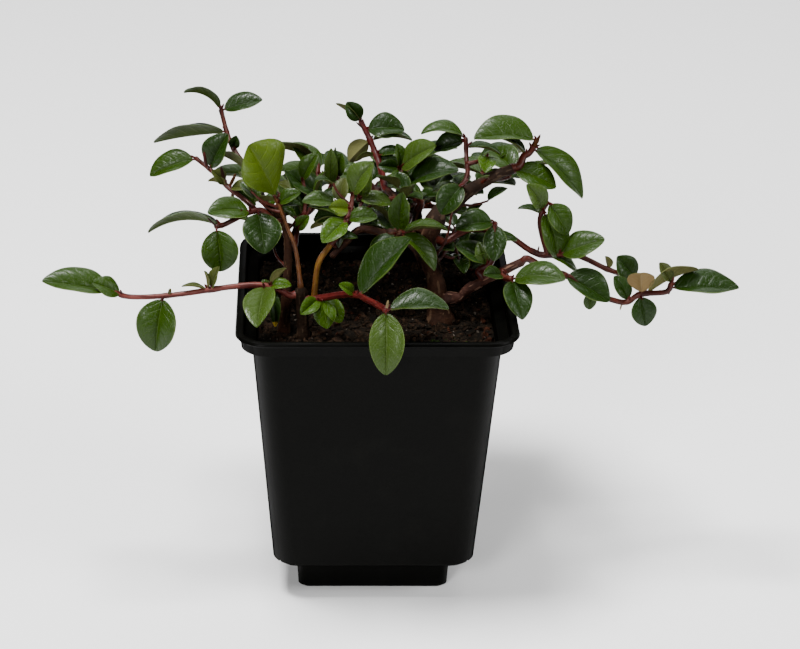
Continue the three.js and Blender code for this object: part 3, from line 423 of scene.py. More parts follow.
           (0.81, 11, 11.5, 55, 5, 1.1), (0.76, 9.4, 8, 90, -5, 1, 0.9)]}]},
    {"name": "foliage_east_low_runner", "skin": "red", "seed": 28, "on": ("bough_low_east", 1),
     "thick": (0.95, 0.75),
     "through": [(55, -6, 109), (63, -6, 105.8), (69.8, -8, 101.4), (77.4, -8, 98.5), (82, -8, 97.8),
       (86.4, -8, 100.6), (94.5, -8, 101.4), (96.3, -8, 104.6)],
     "tints": "dddpdbom", "leaves": [(0.97, 3, 22.5, 80, 0, 1, 0.2), (0.31, 3.9, 17, 65, 14, 1.15),
       (0.79, 5.6, 11, 45, 8, 1.2), (0.82, 2.2, 19, 130, -8, 1, 0.7), (0.72, 10.9, 9.5, 60, -16, 1),
       (0.8, 11.7, 12, 130, 30, 1.1), (1, 10.9, 8, 70, -10, 1.1), (0.48, 5.9, 6.5, 45, 0, 1)]},
    {"name": "foliage_back_middle", "seed": 31, "on": ("bough_back", 1), "thick": (1.1, 0.7), "more": 6,
     "twigCount": 2,
     "through": [(1, 54, 113), (-3, 70, 110)],
     "leaves": []},
    {"name": "foliage_back_right", "seed": 32, "on": ("bough_back", 0.7), "thick": (1.0, 0.7), "more": 7,
     "twigCount": 2,
     "through": [(16, 40, 112), (28, 62, 109)],
     "leaves": []},
    {"name": "foliage_back_left", "seed": 33, "on": ("trunk_left", 0.74), "thick": (1.0, 0.7), "more": 7,
     "twigCount": 2,
     "through": [(-30, 20, 117), (-28, 40, 116), (-31, 58, 112)],
     "leaves": []},
    {"name": "foliage_back_east", "seed": 34, "on": ("bough_east_high", 0.55), "thick": (0.9, 0.7),
     "more": 7, "twigCount": 1,
     "through": [(37, 28, 127), (37, 44, 124), (38, 57, 119)],
     "leaves": []},
    {"name": "foliage_inner", "seed": 35, "on": ("trunk_right", 0.62), "thick": (0.8, 0.6), "more": 5,
     "through": [(24, 7, 110), (32, 14, 109)],
     "leaves": []},
]

# How it grows. A pair is the least or middle value and the range of the seeded draw
growth = {
    "stemStep": 4, "flareFade": 9, "nearby": 5, "touchGap": 0.3, "stemRoom": 0.5,
    "potHeight": 100, "rimHalf": 45, "rimInset": 4, "soilLevel": 91.5, "potGap": 1,
    "tipSpread": 8, "spread": (62, 22), "lift": (0.1, 0.5), "leafLength": (11.5, 6), "tilt": 0.5,
    "firstLeaf": 0.3, "ruleReach": 0.7, "ruleReachListed": 0.55, "ruleTints": "dm",
    "twigStart": 0.35, "twigGap": 0.3, "twigReach": (13, 6), "twigRise": (2, 4), "twigThick": (0.7, 0.5),
    "twigLeaves": 3, "twigSeed": 500, "ruleSeed": 1000,
}
upward = np.array([0.0, 0.0, 1.0])


def unit(vector):
    return vector / np.linalg.norm(vector)


# The same numbers for the same seed, wherever the script runs
def seededNumbers(seed):
    state = seed * 7919 + 17

    def draw():
        nonlocal state
        state = state * 16807 % 2147483647
        return state / 2147483647
    return draw


def vary(values, draw, middle=0):
    return values[0] + values[1] * (draw() - middle)


# A smooth curve through all the points, in steps of about the given length
def smoothPath(points, step):
    points = [np.array(p, float) for p in points]
    ends = [2 * points[0] - points[1]] + points + [2 * points[-1] - points[-2]]
    path = [points[0]]
    for a, b, c, d in zip(ends, ends[1:], ends[2:], ends[3:]):
        pieces = max(2, int(np.linalg.norm(c - b) / step + 0.5))
        for j in range(1, pieces + 1):
            t = j / pieces
            path.append((-0.5 * t + t * t - 0.5 * t ** 3) * a + (1 - 2.5 * t * t + 1.5 * t ** 3) * b
                        + (0.5 * t + 2 * t * t - 1.5 * t ** 3) * c + (-0.5 * t * t + 0.5 * t ** 3) * d)
    return np.array(path)


def radiusAt(stem, share):
    first, last = stem["thick"]
    flare = stem.get("flare", 0) * math.exp(-growth["flareFade"] * share)
    return (first + (last - first) * share) * (1 + flare)


# The place, direction and radius at a share of the stem's length
def placeOn(stem, at):
    path = stem["path"]
    steps = np.linalg.norm(np.diff(path, axis=0), axis=1)
    lengths = np.concatenate([[0], np.cumsum(steps)])
    wanted = at * lengths[-1]
    i = 1
    while i < len(path) - 1 and lengths[i] < wanted:
        i += 1
    share = (wanted - lengths[i - 1]) / (lengths[i] - lengths[i - 1])
    return path[i - 1] + (path[i] - path[i - 1]) * share, unit(path[i] - path[i - 1]), radiusAt(stem, at)


# How far the carrier stands out in a direction, near the place where a stem leaves it
def standOut(stem, place, out):
    reach = 0
    for i, centre in enumerate(stem["path"]):
        if np.linalg.norm(centre - place) < growth["nearby"]:
            radius = radiusAt(stem, i / (len(stem["path"]) - 1))
            reach = max(reach, float((centre - place) @ out) + radius)
    return reach


def grownStem(described, controls, carrierRadius, inLine=False, step=growth["stemStep"]):
    path = smoothPath(controls, step)
    return {**described, "path": path, "controls": controls, "carrierRadius": carrierRadius,
            "inLine": inLine}


def stemOn(carrier, at, described):
    place, tangent, radius = placeOn(carrier, at)
    away = np.array(described["through"][0], float) - place
    if at < 1:
        away = away - tangent * (away @ tangent)
    away = unit(away)
    heading = away if at < 1 else tangent
    offset = max(radius, standOut(carrier, place, heading)) if at < 1 else 0
    root = place + heading * (offset + growth["touchGap"])
    collar = root + heading * 2 * described["thick"][0]
    controls = [root, collar] + described["through"]
    return {**grownStem(described, controls, radius, at == 1), "controls": [place] + controls}


def twigOn(stem, described):
    place, _, radius = placeOn(stem, described["at"])
    return grownStem(described, [place] + described["through"], radius)


def leafPose(root, axis, facing, length, draw, broad=1, bend=0, wedge=0.88):
    normal = unit(facing - axis * (facing @ axis))
    seededBend = vary(leaf["bendDraw"], draw)
    breadth = leaf["breadth"] * broad * vary(leaf["breadthDraw"], draw)
    return {"root": root, "axis": axis, "normal": normal, "length": length, "side": np.cross(axis, normal),
            "petiole": min(leaf["petiole"], leaf["petioleShare"] * length), "breadth": breadth,
            "bend": bend or seededBend, "fold": vary(leaf["foldDraw"], draw), "wedge": wedge}


def listedPose(root, row, draw):
    hour, length, face, lean = row[1:5]
    hour, face, lean = math.radians(hour * 30), math.radians(face), math.radians(lean)
    axis = np.array([math.sin(hour) * math.cos(lean), -math.sin(lean), math.cos(hour) * math.cos(lean)])
    facing = np.array([0, -math.cos(face), math.sin(face)])
    return leafPose(root, axis, facing, length, draw, *row[5:])


def rankedPose(root, tangent, rank, atTip, draw, size=1):
    across = unit(np.cross(tangent, upward))
    spread = math.radians(growth["tipSpread"] if atTip else vary(growth["spread"], draw, 0.5))
    ahead = tangent * math.cos(spread) + across * rank * math.sin(spread)
    axis = unit(ahead + upward * vary(growth["lift"], draw, 0.3))
    facing = np.array([growth["tilt"] * (draw() - 0.5), growth["tilt"] * (draw() - 0.5), 1])
    return leafPose(root, axis, facing, size * vary(growth["leafLength"], draw), draw)


# The leaf swung about its root, in the plane that faces the viewer
def swungPose(pose, degrees):
    hour = math.atan2(pose["axis"][0], pose["axis"][2])
    hinge = np.array([-math.cos(hour), 0, math.sin(hour)])
    angle = math.radians(-degrees)

    def turn(v):
        across = np.cross(hinge, v) * math.sin(angle)
        return v * math.cos(angle) + across + hinge * (hinge @ v) * (1 - math.cos(angle))
    return {**pose, **{key: turn(pose[key]) for key in ("axis", "normal", "side")}}


def bladeHalf(pose, blade):
    size = 0.5 * pose["breadth"] * (pose["length"] - pose["petiole"])
    return size * np.maximum(np.sin(math.pi * blade ** pose["wedge"]), 0) ** leaf["fullness"]


# The midrib and how far along the blade it is: t runs from the root (0) to the tip (1)
def midribFrame(pose, t):
    half = pose["bend"] / 2
    along = (math.sin(half) - np.sin(half - pose["bend"] * t)) / (2 * math.sin(half))
    rise = (np.cos(half - pose["bend"] * t) - math.cos(half)) / (2 * math.sin(half))
    blade = np.clip((t * pose["length"] - pose["petiole"]) / (pose["length"] - pose["petiole"]), 0, 1)
    middle = (pose["root"] + pose["length"] * along[..., None] * pose["axis"]
              + pose["length"] * rise[..., None] * pose["normal"])
    return middle, blade


# Places on the leaf: across runs from one edge (-1) to the other (1)
def leafPlaces(pose, t, across):
    middle, blade = midribFrame(pose, t)
    edge = across * bladeHalf(pose, blade)
    return (middle + (np.abs(edge) * math.sin(pose["fold"]))[..., None] * pose["normal"]
            + (edge * math.cos(pose["fold"]))[..., None] * pose["side"])


# Points over the blade, each with the room that it takes up, to find out what touches
def leafPoints(pose):
    rows, across = leaf["checkRows"], leaf["checkAcross"]
    t = np.repeat(leaf["checkFrom"] + leaf["checkReach"] * np.arange(rows) / (rows - 1), len(across))
    places = leafPlaces(pose, t, np.tile(across, rows))
    return places, np.full(len(places), leaf["pointSpread"] * pose["length"])


def stemPoints(stem):
    steps = len(stem["path"]) * 2
    found = [placeOn(stem, i / steps) for i in range(steps + 1)]
    return np.array([f[0] for f in found]), np.array([f[2] + growth["stemRoom"] for f in found])


def clearOfPot(places):
    out = np.maximum(np.abs(places[:, 0]), np.abs(places[:, 1]))
    height, gap = places[:, 2], growth["potGap"]
    inside = (out < growth["rimHalf"] - growth["rimInset"]) & (height > growth["soilLevel"] + gap)
    outside = (out > growth["rimHalf"] + gap) & (height > gap)
    return bool(np.all((height > growth["potHeight"] + gap) | inside | outside))


def apart(first, second, share=1.0):
    gaps = np.linalg.norm(first[0][:, None] - second[0][None], axis=2)
    return bool(np.all(gaps > share * (first[1][:, None] + second[1][None])))


def growStems():
    grown = {}
    for limb in limbs:
        if "on" in limb:
            grown[limb["name"]] = stemOn(grown[limb["on"][0]], limb["on"][1], limb)
        else:
            grown[limb["name"]] = grownStem(limb, limb["through"], 0, True)
    for shoot in shoots:
        stem = stemOn(grown[shoot["on"][0]], shoot["on"][1], shoot)
        draw = seededNumbers(shoot["seed"] + growth["twigSeed"])
        stem["twigs"] = [twigOn(stem, twig) for twig in shoot.get("twigs", [])]
        stem["twigs"] += [seededTwig(stem, i, draw) for i in range(shoot.get("twigCount", 0))]
        grown[shoot["name"]] = stem
    return grown


def seededTwig(stem, index, draw):
    at = growth["twigStart"] + growth["twigGap"] * index
    place, tangent, radius = placeOn(stem, at)
    across = unit(np.cross(tangent, upward)) * (1 if index % 2 == 0 else -1)
    reach = vary(growth["twigReach"], draw)
    middle = place + across * 0.5 * reach + tangent * 0.3 * reach
    end = middle + across * 0.4 * reach + tangent * 0.5 * reach + upward * vary(growth["twigRise"], draw)
    described = {"thick": growth["twigThick"], "leaves": [], "more": growth["twigLeaves"]}
    return grownStem(described, [place, middle, end], radius)


# Finer twigs with small leaves, which only this model has. hosts: the stem or limb that carries them, the
# part of the shrub they join, how many, their leaves' size; top, slope and front: how high they reach, less
# so to the back, and how near the viewer; sky: places on the plane y = 0, as x, z and radius, that stay open
# to the viewer; crowding: how near to each other leaves may be
finer = {
    "seed": 71, "reach": (5, 6), "lift": 0.45, "thick": (0.42, 0.3), "stemStep": 2, "hostShare": (0.15, 0.8),
    # The back tints end in k, whose under side is painted darker as shade, where the front tints end in o
    "places": (0.4, 0.7, 1), "tints": "ddmdo", "backTints": "ddmdk", "crowding": 0.75, "nearby": 40,
    "skyRoom": 0.5, "top": 143, "slope": 0.47, "front": 0,
    "hosts": [("foliage_centre", "centre", 7, 0.6), ("foliage_middle", "centre", 5, 0.65),
              ("foliage_crown_middle", "centre", 6, 0.7), ("foliage_crown_top", "centre", 3, 0.6),
              ("foliage_crown_left", "centre", 10, 0.7), ("foliage_crown_right", "centre", 6, 0.7),
              ("foliage_inner", "back", 8, 0.75), ("foliage_back_middle", "back", 9, 0.75),
              ("foliage_back_right", "back", 9, 0.75), ("foliage_back_left", "back", 13, 0.75),
              ("foliage_back_east", "back", 6, 0.75), ("foliage_east_arch", "east", 3, 0.6),
              ("foliage_east_inner", "east", 4, 0.65), ("foliage_west_high", "west", 3, 0.55),
              ("foliage_bright", "west", 7, 0.65), ("bough_back", "back", 10, 0.8),
              ("bough_middle", "centre", 10, 0.8), ("bough_crown", "centre", 6, 0.75),
              ("trunk_right", "centre", 8, 0.8), ("trunk_left", "west", 12, 0.75),
              ("bough_east_high", "east", 5, 0.6)],
    "sky": [(-1, 153, 1.5), (39, 148, 3.1), (49, 150, 1.9), (2, 148, 1.8), (-45, 145, 2.2), (-27, 142, 3.4),
            (51, 145, 1.5), (-21, 141, 2.6), (38, 121, 6.6), (45, 129, 5.0), (1, 136, 1.6), (14, 135, 1.2),
            (15, 126, 3.8), (-19, 127, 1.0), (-44, 113, 3.5), (27, 120, 1.3), (-8, 120, 0.9), (47, 111, 2.5),
            (-31, 154, 3.5), (12, 159, 1.8), (30.4, 132, 2.6)],
}


def keepsOutline(points):
    places, room = points
    back, height = places[:, 1], places[:, 2]
    if np.any(height + finer["slope"] * back > finer["top"]) or np.any(back < finer["front"]):
        return False
    eye = np.array(cameraView["place"]) / mm
    for x, z, radius in finer["sky"]:
        away = np.linalg.norm(np.cross(places - eye, unit(np.array([x, 0, z]) - eye)), axis=1)
        if np.any(away < radius + finer["skyRoom"] * room):
            return False
    return True


def finerTwig(stem, at, draw):
    place, tangent, radius = placeOn(stem, at)
    first = unit(np.cross(tangent, [0.37, 0.21, 0.9]))
    turn = 2 * math.pi * draw()
    out = unit(first * math.cos(turn) + np.cross(tangent, first) * math.sin(turn) + upward * finer["lift"])
    reach = vary(finer["reach"], draw) + radius
    middle = place + out * 0.55 * reach + tangent * 0.2 * reach
    end = middle + out * 0.35 * reach + tangent * 0.4 * reach + upward * 1.5 * draw()
    described = {"thick": finer["thick"], "leaves": []}
    return grownStem(described, [place, middle, end], radius, step=finer["stemStep"])


# Every leaf of every shoot: the listed ones, then those of the seeded rule, then the finer twigs' leaves
def growLeaves(grown):
    taken = []
    leaves = {}
    for name, stem in grown.items():
        taken += [(name, *stemPoints(part)) for part in [stem] + stem.get("twigs", [])]

    def place(name, pose, siblings, tint, fine=False):
        near = finer["nearby"] if fine else math.inf
        others = [entry for entry in taken if entry[0] != name
                  and np.linalg.norm(entry[1][len(entry[1]) // 2] - pose["root"]) < near]
        theirs = [np.concatenate([entry[i] for entry in others]) for i in (1, 2)]
        atRoot = leaf["rootRows"] * len(leaf["checkAcross"])  # where leaves of one stem may touch
        for swing in leaf["swings"]:
            tried = swungPose(pose, swing)
            points = leafPoints(tried)
            if not clearOfPot(points[0]) or not apart(points, theirs, finer["crowding"] if fine else 1):
                continue
            if fine and not keepsOutline(points):
                continue
            outer = [part[atRoot:] for part in points]
            if all(apart(outer, [part[atRoot:] for part in leafPoints(sibling)], leaf["siblingShare"])
                   for sibling in siblings):
                tried.update(tint=tint, fine=fine)
                leaves[name].append(tried)
                taken.append((name, *points))
                return tried
        return None

    for shoot in shoots:
        draw = seededNumbers(shoot["seed"])
        leaves[shoot["name"]] = []
        for part in [grown[shoot["name"]]] + grown[shoot["name"]]["twigs"]:
            for row, tint in zip(part["leaves"], part.get("tints", "")):
                place(shoot["name"], listedPose(placeOn(part, row[0])[0], row, draw), [], tint)
    for shoot in shoots:
        draw = seededNumbers(shoot["seed"] + growth["ruleSeed"])
        for part in [grown[shoot["name"]]] + grown[shoot["name"]]["twigs"]:
            count = part.get("more", 0)
            reach = growth["ruleReachListed" if part["leaves"] else "ruleReach"]
            for i in range(count):
                at = min(1, growth["firstLeaf"] + (reach * (i + 1)) / count)
                root, tangent, _ = placeOn(part, at)
                pose = rankedPose(root, tangent, 1 if i % 2 == 0 else -1, at == 1, draw)
                place(shoot["name"], pose, leaves[shoot["name"]], growth["ruleTints"][i % 2])
    twigs = []
    for number, (host, area, count, size) in enumerate(finer["hosts"]):
        draw = seededNumbers(finer["seed"] + number)
        dealt = finer["backTints" if area == "back" else "tints"]
        first, reach = finer["hostShare"]
        for i in range(count):
            twig = finerTwig(grown[host], first + reach * (i + draw()) / count, draw)
            name = host + "_finer" + str(i)
            leaves[name] = []
            for j, at in enumerate(finer["places"]):
                root, tangent, _ = placeOn(twig, at)
                pose = rankedPose(root, tangent, 1 if j % 2 == 0 else -1, at == 1, draw, size)
                if place(name, pose, leaves[name], dealt[(i + j) % len(dealt)], True):
                    twig["cut"] = at  # it ends at its last leaf
            if leaves[name]:
                twigs.append((area, name, twig))
    return leaves, twigs


grown = growStems()
leavesOf, finerTwigs = growLeaves(grown)
print("rule grown:", sum(len(leavesOf[shoot["name"]]) for shoot in shoots), "leaves, finer ones:",
      sum(len(leavesOf[name]) for area, name, twig in finerTwigs), "on", len(finerTwigs), "twigs")


# Each mesh is gathered from many small parts: their corners, faces, material slots, maps and shades
def newHeap():
    return {"places": [], "faces": [], "slots": [], "uvs": [], "shades": [], "count": 0}


def addPatch(heap, places, faceSets, slots, uvs=None, shades=None):
    heap["places"].append(places)
    for faces, slot in zip(faceSets, slots):
        heap["faces"] += (np.array(faces) + heap["count"]).tolist()
        heap["slots"].append(np.broadcast_to(slot, len(faces)))
    heap["uvs"].append(np.zeros((len(places), 2)) if uvs is None else uvs)
    heap["shades"].append(np.zeros(len(places)) if shades is None else shades)
    heap["count"] += len(places)


def buildPiece(name, heap, materials, replaced=()):
    mesh = bpy.data.meshes.new(name)
    mesh.from_pydata((np.concatenate(heap["places"]) * mm).tolist(), [], heap["faces"])
    for material in materials:
        mesh.materials.append(material)
    mesh.polygons.foreach_set("material_index", np.concatenate(heap["slots"]).astype(np.int32))
    mesh.polygons.foreach_set("use_smooth", np.ones(len(mesh.polygons), dtype=bool))
    corners = np.empty(len(mesh.loops), dtype=np.int32)
    mesh.loops.foreach_get("vertex_index", corners)
    mesh.uv_layers.new(name="UVMap").data.foreach_set("uv", np.concatenate(heap["uvs"])[corners].ravel())
    mesh.attributes.new("shade", "FLOAT", "POINT").data.foreach_set("value", np.concatenate(heap["shades"]))
    mesh.update()
    piece = bpy.data.objects.new(name, mesh)
    bpy.context.scene.collection.objects.link(piece)
    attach(piece, "root")
    if replaced:
        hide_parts(*replaced)
    return piece


def gridFaces(rows, columns, start=0, closed=False):
    faces = []
    for i in range(rows - 1):
        for j in range(columns if closed else columns - 1):
            k = (j + 1) % columns
            faces.append((start + i * columns + j, start + i * columns + k,
                          start + (i + 1) * columns + k, start + (i + 1) * columns + j))
    return faces


# Rings that round off the tip of a stem, as size and how far ahead, and how far its tip reaches, in radii
tube = {
    "tipRings": ((0.72, 0.5), (0.3, 0.75)), "tipReach": 0.85, "footDepth": 0.01, "mapStep": 0.1,
    "firstSide": (0.31, 0.95, 0.05),
}


# A round stem along a path, with a rounded tip. swell(along, angle) gives how far a place stands out, as a
# share of the radius, and its shade
def addTube(heap, path, radii, sides, slot, swell=None):
    steps = np.linalg.norm(np.diff(path, axis=0), axis=1)
    lengths = np.concatenate([[0], np.cumsum(steps)])
    side = np.array(tube["firstSide"])
    places, shades, uvs = [], [], []
    angles = 2 * math.pi * np.arange(sides) / sides
    for i, centre in enumerate(path):
        tangent = unit(path[min(i + 1, len(path) - 1)] - path[max(i - 1, 0)])
        side = unit(side - tangent * (side @ tangent))
        other = np.cross(tangent, side)
        for angle in angles:
            rise, shade = swell(lengths[i], angle) if swell else (0, 0)
            radius = radii[i] * (1 + rise)
            places.append(centre + side * radius * math.cos(angle) + other * radius * math.sin(angle))
            shades.append(shade)
            uvs.append((angle / (2 * math.pi), lengths[i] * tube["mapStep"]))
    ahead = unit(path[-1] - path[-2]) * radii[-1]
    tipRing = np.array(places[-sides:]) - path[-1]
    for share, push in tube["tipRings"]:
        places += list(path[-1] + ahead * push + tipRing * share)
        shades += shades[-sides:]
        uvs += uvs[-sides:]
    rows = len(path) + len(tube["tipRings"])
    last = (rows - 1) * sides
    places += [path[-1] + ahead * tube["tipReach"], path[0] - unit(path[1] - path[0]) * tube["footDepth"]]
    shades += [shades[-1], shades[0]]
    uvs += [uvs[-1], uvs[0]]
    tip, foot = len(places) - 2, len(places) - 1
    caps = [(last + j, last + (j + 1) % sides, tip) for j in range(sides)]
    caps += [((j + 1) % sides, j, foot) for j in range(sides)]
    addPatch(heap, np.array(places), [gridFaces(rows, sides, 0, True), caps], [slot, slot], np.array(uvs),
             np.array(shades))


def finePath(stem, step):
    path = smoothPath(stem["controls"], step)
    shares = np.concatenate([[0], np.cumsum(np.linalg.norm(np.diff(path, axis=0), axis=1))])
    return path, shares / shares[-1], shares[-1]


# Trunks and boughs: dark bark with lengthwise ridges and pale paper-thin peels. ridges, knots and grain: how
# high, how fine around and along, and how far apart in the noise two stems are. peels: the same
bark = {
    "step": 0.75, "sides": 22, "ridges": (0.09, 2.6, 0.12, 3), "knots": (0.10, 0.5, 0.28, 5),
    "grain": (0.035, 5, 0.7, 1), "peels": (0.05, 3.2, 0.3, 7), "peelFrom": 0.2, "peelEdge": 0.1,
    "collar": 1.35, "collarReach": 2.2, "depth": 3,
    "grainScale": 900.0, "streakScale": 240.0, "grainDepth": 0.0005,
}


# Noise round a stem, which closes where the angle does
def ringNoise(angle, length, seed, around, along, step, shift=Vector((0, 0, 0))):
    spot = Vector((around * math.cos(angle), around * math.sin(angle), along * length + step * seed))
    return noise.noise(spot + shift)


def barkSwell(seed, amount):
    def swell(length, angle):
        rise = 0
        for height, *fineness in (bark["ridges"], bark["knots"], bark["grain"]):
            rise += height * ringNoise(angle, length, seed, *fineness)
        height, *fineness = bark["peels"]
        peel = ringNoise(angle, length, seed, *fineness, Vector((9, 4, seed)))
        mask = min(1, max(0, (peel - bark["peelFrom"]) / bark["peelEdge"]))
        return amount * (rise + height * mask), mask
    return swell


def makeBark():
    group, given, out = makeGroup("barkSkin", [
        ("Bark", "NodeSocketColor", (0.05, 0.03, 0.02, 1)),
        ("Peel", "NodeSocketColor", (0.3, 0.22, 0.15, 1)), ("Peel Share", "NodeSocketFloat", 0.8),
        ("Roughness", "NodeSocketFloat", 0.8)], skinOutputs)
    plain, pale = given.outputs["Bark"], given.outputs["Peel"]
    place = addCoords(group)
    grain = addNoise(group, place, bark["grainScale"], 4.0, 0.65)
    streak = addNoise(group, place, bark["streakScale"], 3.0, 0.6)
    mask = group.nodes.new("ShaderNodeAttribute")
    mask.attribute_name = "shade"
    torn = addMath(group, "ADD", mask.outputs["Fac"], addMath(group, "MULTIPLY_ADD", streak, 0.8, -0.4))
    edge = addBand(group, torn, 0.45, 0.6)
    dark = addMix(group, 1.0, plain, (0.5, 0.48, 0.46, 1), "MULTIPLY")
    dark = addMix(group, addBand(group, streak, 0.35, 0.65), dark, plain)
    dark = addMix(group, addBand(group, grain, 0.58, 0.75), dark, addMix(group, 0.5, plain, pale))
    peelShare = addMath(group, "MULTIPLY", edge, given.outputs["Peel Share"])
    group.links.new(addMix(group, peelShare, dark, pale), out.inputs["Color"])
    smoothest = addMath(group, "SUBTRACT", given.outputs["Roughness"], 0.12)
    group.links.new(addMath(group, "MULTIPLY_ADD", grain, 0.25, smoothest), out.inputs["Roughness"])
    height = addMath(group, "MULTIPLY_ADD", grain, 0.6, addMath(group, "MULTIPLY", edge, 0.5))
    group.links.new(height, out.inputs["Height"])
    return group


def woodMaterial(name, group, wood, peel, peelShare, roughness, gloss, relief):
    values = {"Bark": (*wood, 1), "Peel": (*peel, 1), "Peel Share": peelShare}
    return skinMaterial(name, group, values, roughness, gloss, relief, bark["grainDepth"])


# Colours of the wood: bark, peel or bloom, how much of it, roughness, shine, relief of the fine grain
woods = {
    "old": ((0.0185, 0.0086, 0.0044), (0.060, 0.038, 0.022), 0.5, 0.8, 0.1, 1.0),
    # The stub's bark: dark brown, painted darker still as shade, for it stands in the shadow under the shrub
    "dusk": ((0.0105, 0.0052, 0.0026), (0.034, 0.020, 0.011), 0.5, 0.8, 0.05, 1.2),
    "umber": ((0.0180, 0.0066, 0.0028), (0.050, 0.028, 0.013), 0.5, 0.8, 0.05, 1.0),
    "warm": ((0.0330, 0.0130, 0.0062), (0.095, 0.055, 0.030), 0.5, 0.8, 0.1, 1.0),
    "brown": ((0.028, 0.0088, 0.0042), (0.085, 0.038, 0.018), 0.5, 0.65, 0.12, 0.8),
    "orange": ((0.050, 0.0165, 0.0032), (0.095, 0.038, 0.0105), 0.35, 0.5, 0.08, 0.6),
    "yellow": ((0.098, 0.046, 0.005), (0.072, 0.0155, 0.004), 0.6, 0.45, 0.1, 0.6),
    "red": ((0.036, 0.0048, 0.0026), (0.080, 0.017, 0.009), 0.4, 0.4, 0.15, 0.45),
    "crimson": ((0.050, 0.0036, 0.0030), (0.10, 0.012, 0.009), 0.35, 0.38, 0.15, 0.4),
    "pinkish": ((0.070, 0.0078, 0.0055), (0.15, 0.038, 0.028), 0.5, 0.42, 0.16, 0.4),
    "rosy": ((0.036, 0.0120, 0.0072), (0.150, 0.078, 0.050), 0.7, 0.7, 0.12, 1.2),
    "green": ((0.065, 0.058, 0.010), (0.095, 0.045, 0.015), 0.5, 0.45, 0.2, 0.3),
    "cream": ((0.20, 0.15, 0.075), (0.26, 0.2, 0.11), 0.4, 0.6, 0.1, 0.3),
}
barkGroup = makeBark()
woodMaterials = {key: woodMaterial("wood_" + key, barkGroup, *values) for key, values in woods.items()}
woodOrder = list(woods)


def makeLimbs():
    for number, limb in enumerate(limbs):
        stem = grown[limb["name"]]
        path, shares, whole = finePath(stem, bark["step"])
        if "on" not in limb:  # its foot is in the soil
            foot = path[0] - upward * bark["depth"]
            path = np.concatenate([[foot, foot + upward * bark["depth"] / 2], path])
            shares = np.concatenate([[0, 0], shares])
        radii = limb.get("slim", 1) * np.array([radiusAt(stem, share) for share in shares])
        if "on" in limb:  # a collar where it leaves its carrier
            reach = np.maximum(shares * whole - stem["carrierRadius"], 0)
            radii = radii * (1 + (bark["collar"] - 1) * np.exp(-reach / bark["collarReach"]))
        heap = newHeap()
        addTube(heap, path, radii, bark["sides"], 0, barkSwell(number + 1, limb.get("rough", 1)))
        wood = woodMaterials[limb.get("bark", "old")]
        buildPiece("bark_" + limb["name"], heap, [wood], [limb["name"]])
    print("limbs made")


makeLimbs()

# Twigs, leaf stalks and leaves, joined by the part of the shrub they stand in
areas = {
    "west": ["foliage_west_runner", "foliage_front", "foliage_west_low", "foliage_west_mid",
             "foliage_west_high", "foliage_bright"],
    "centre": ["foliage_centre", "foliage_middle", "foliage_crown_middle", "foliage_crown_top",
               "foliage_crown_left", "foliage_crown_right"],
    "east": ["foliage_east_top", "foliage_east_arch", "foliage_east_inner", "foliage_east_node",
             "foliage_east_runner", "foliage_east_low_runner"],
    "back": ["foliage_back_middle", "foliage_back_right", "foliage_back_left", "foliage_back_east",
             "foliage_inner"],
}
twigLook = {
    "step": 0.7, "sides": 12, "stout": 1.18, "pastLeaf": 0.03, "node": 0.14, "nodeWidth": 0.9,
    "rough": 0.05, "grain": (2, 0.35, 11), "patches": (1.2, 0.1, 3), "patchRange": (0.5, 1.6),
    "blend": 3.5, "inLineShare": 0.96, "collar": 0.3, "collarReach": 1.6,
    "stalk": (0.5, 0.3), "stalkReach": 1.35, "stalkSink": 0.12, "rings": 6, "stalkSides": 8,
    "meshSeed": 2000, "finerSeed": 300, "finerLeafSeed": 3000,
}


def twigSwell(seed, nodes):
    def swell(length, angle):
        grain = ringNoise(angle, length, seed, *twigLook["grain"])
        joint = sum(math.exp(-((length - place) / twigLook["nodeWidth"]) ** 2) for place in nodes)
        middle, reach = twigLook["patchRange"]
        shade = middle + reach * ringNoise(angle, length, seed, *twigLook["patches"])
        rise = twigLook["rough"] * grain + twigLook["node"] * min(joint, 1)
        return rise, min(1, max(0, shade))
    return swell


def addTwig(heap, stem, seed, wood):
    path, shares, whole = finePath(stem, twigLook["step"])
    kept = shares <= stem.get("cut", 1) + twigLook["pastLeaf"]
    path, shares = path[kept], shares[kept]
    radii = twigLook["stout"] * np.array([radiusAt(stem, share) for share in shares])
    reach = shares * whole
    carrier = stem["carrierRadius"]
    if stem["inLine"]:
        radii = radii + (carrier * twigLook["inLineShare"] - radii[0]) * np.exp(-reach / twigLook["blend"])
    else:
        past = np.maximum(reach - carrier, 0)
        radii = radii * (1 + twigLook["collar"] * np.exp(-past / twigLook["collarReach"]))
    nodes = [row[0] * whole for row in stem["leaves"]]
    addTube(heap, path, radii, twigLook["sides"], woodOrder.index(wood), twigSwell(seed, nodes))


def addStalk(heap, pose, wood):
    rings = twigLook["rings"]
    t = np.linspace(0, pose["petiole"] / pose["length"] * twigLook["stalkReach"], rings)
    middle = midribFrame(pose, t)[0] - pose["normal"] * twigLook["stalkSink"]
    size = 0.55 + 0.45 * min(1, pose["length"] / leaf["fullLength"])
    radii = np.linspace(*twigLook["stalk"], rings) * size
    addTube(heap, middle, radii, twigLook["stalkSides"], woodOrder.index(wood))


leafMaterials = makeLeafMaterials()
leafOrder = list(leafMaterials)


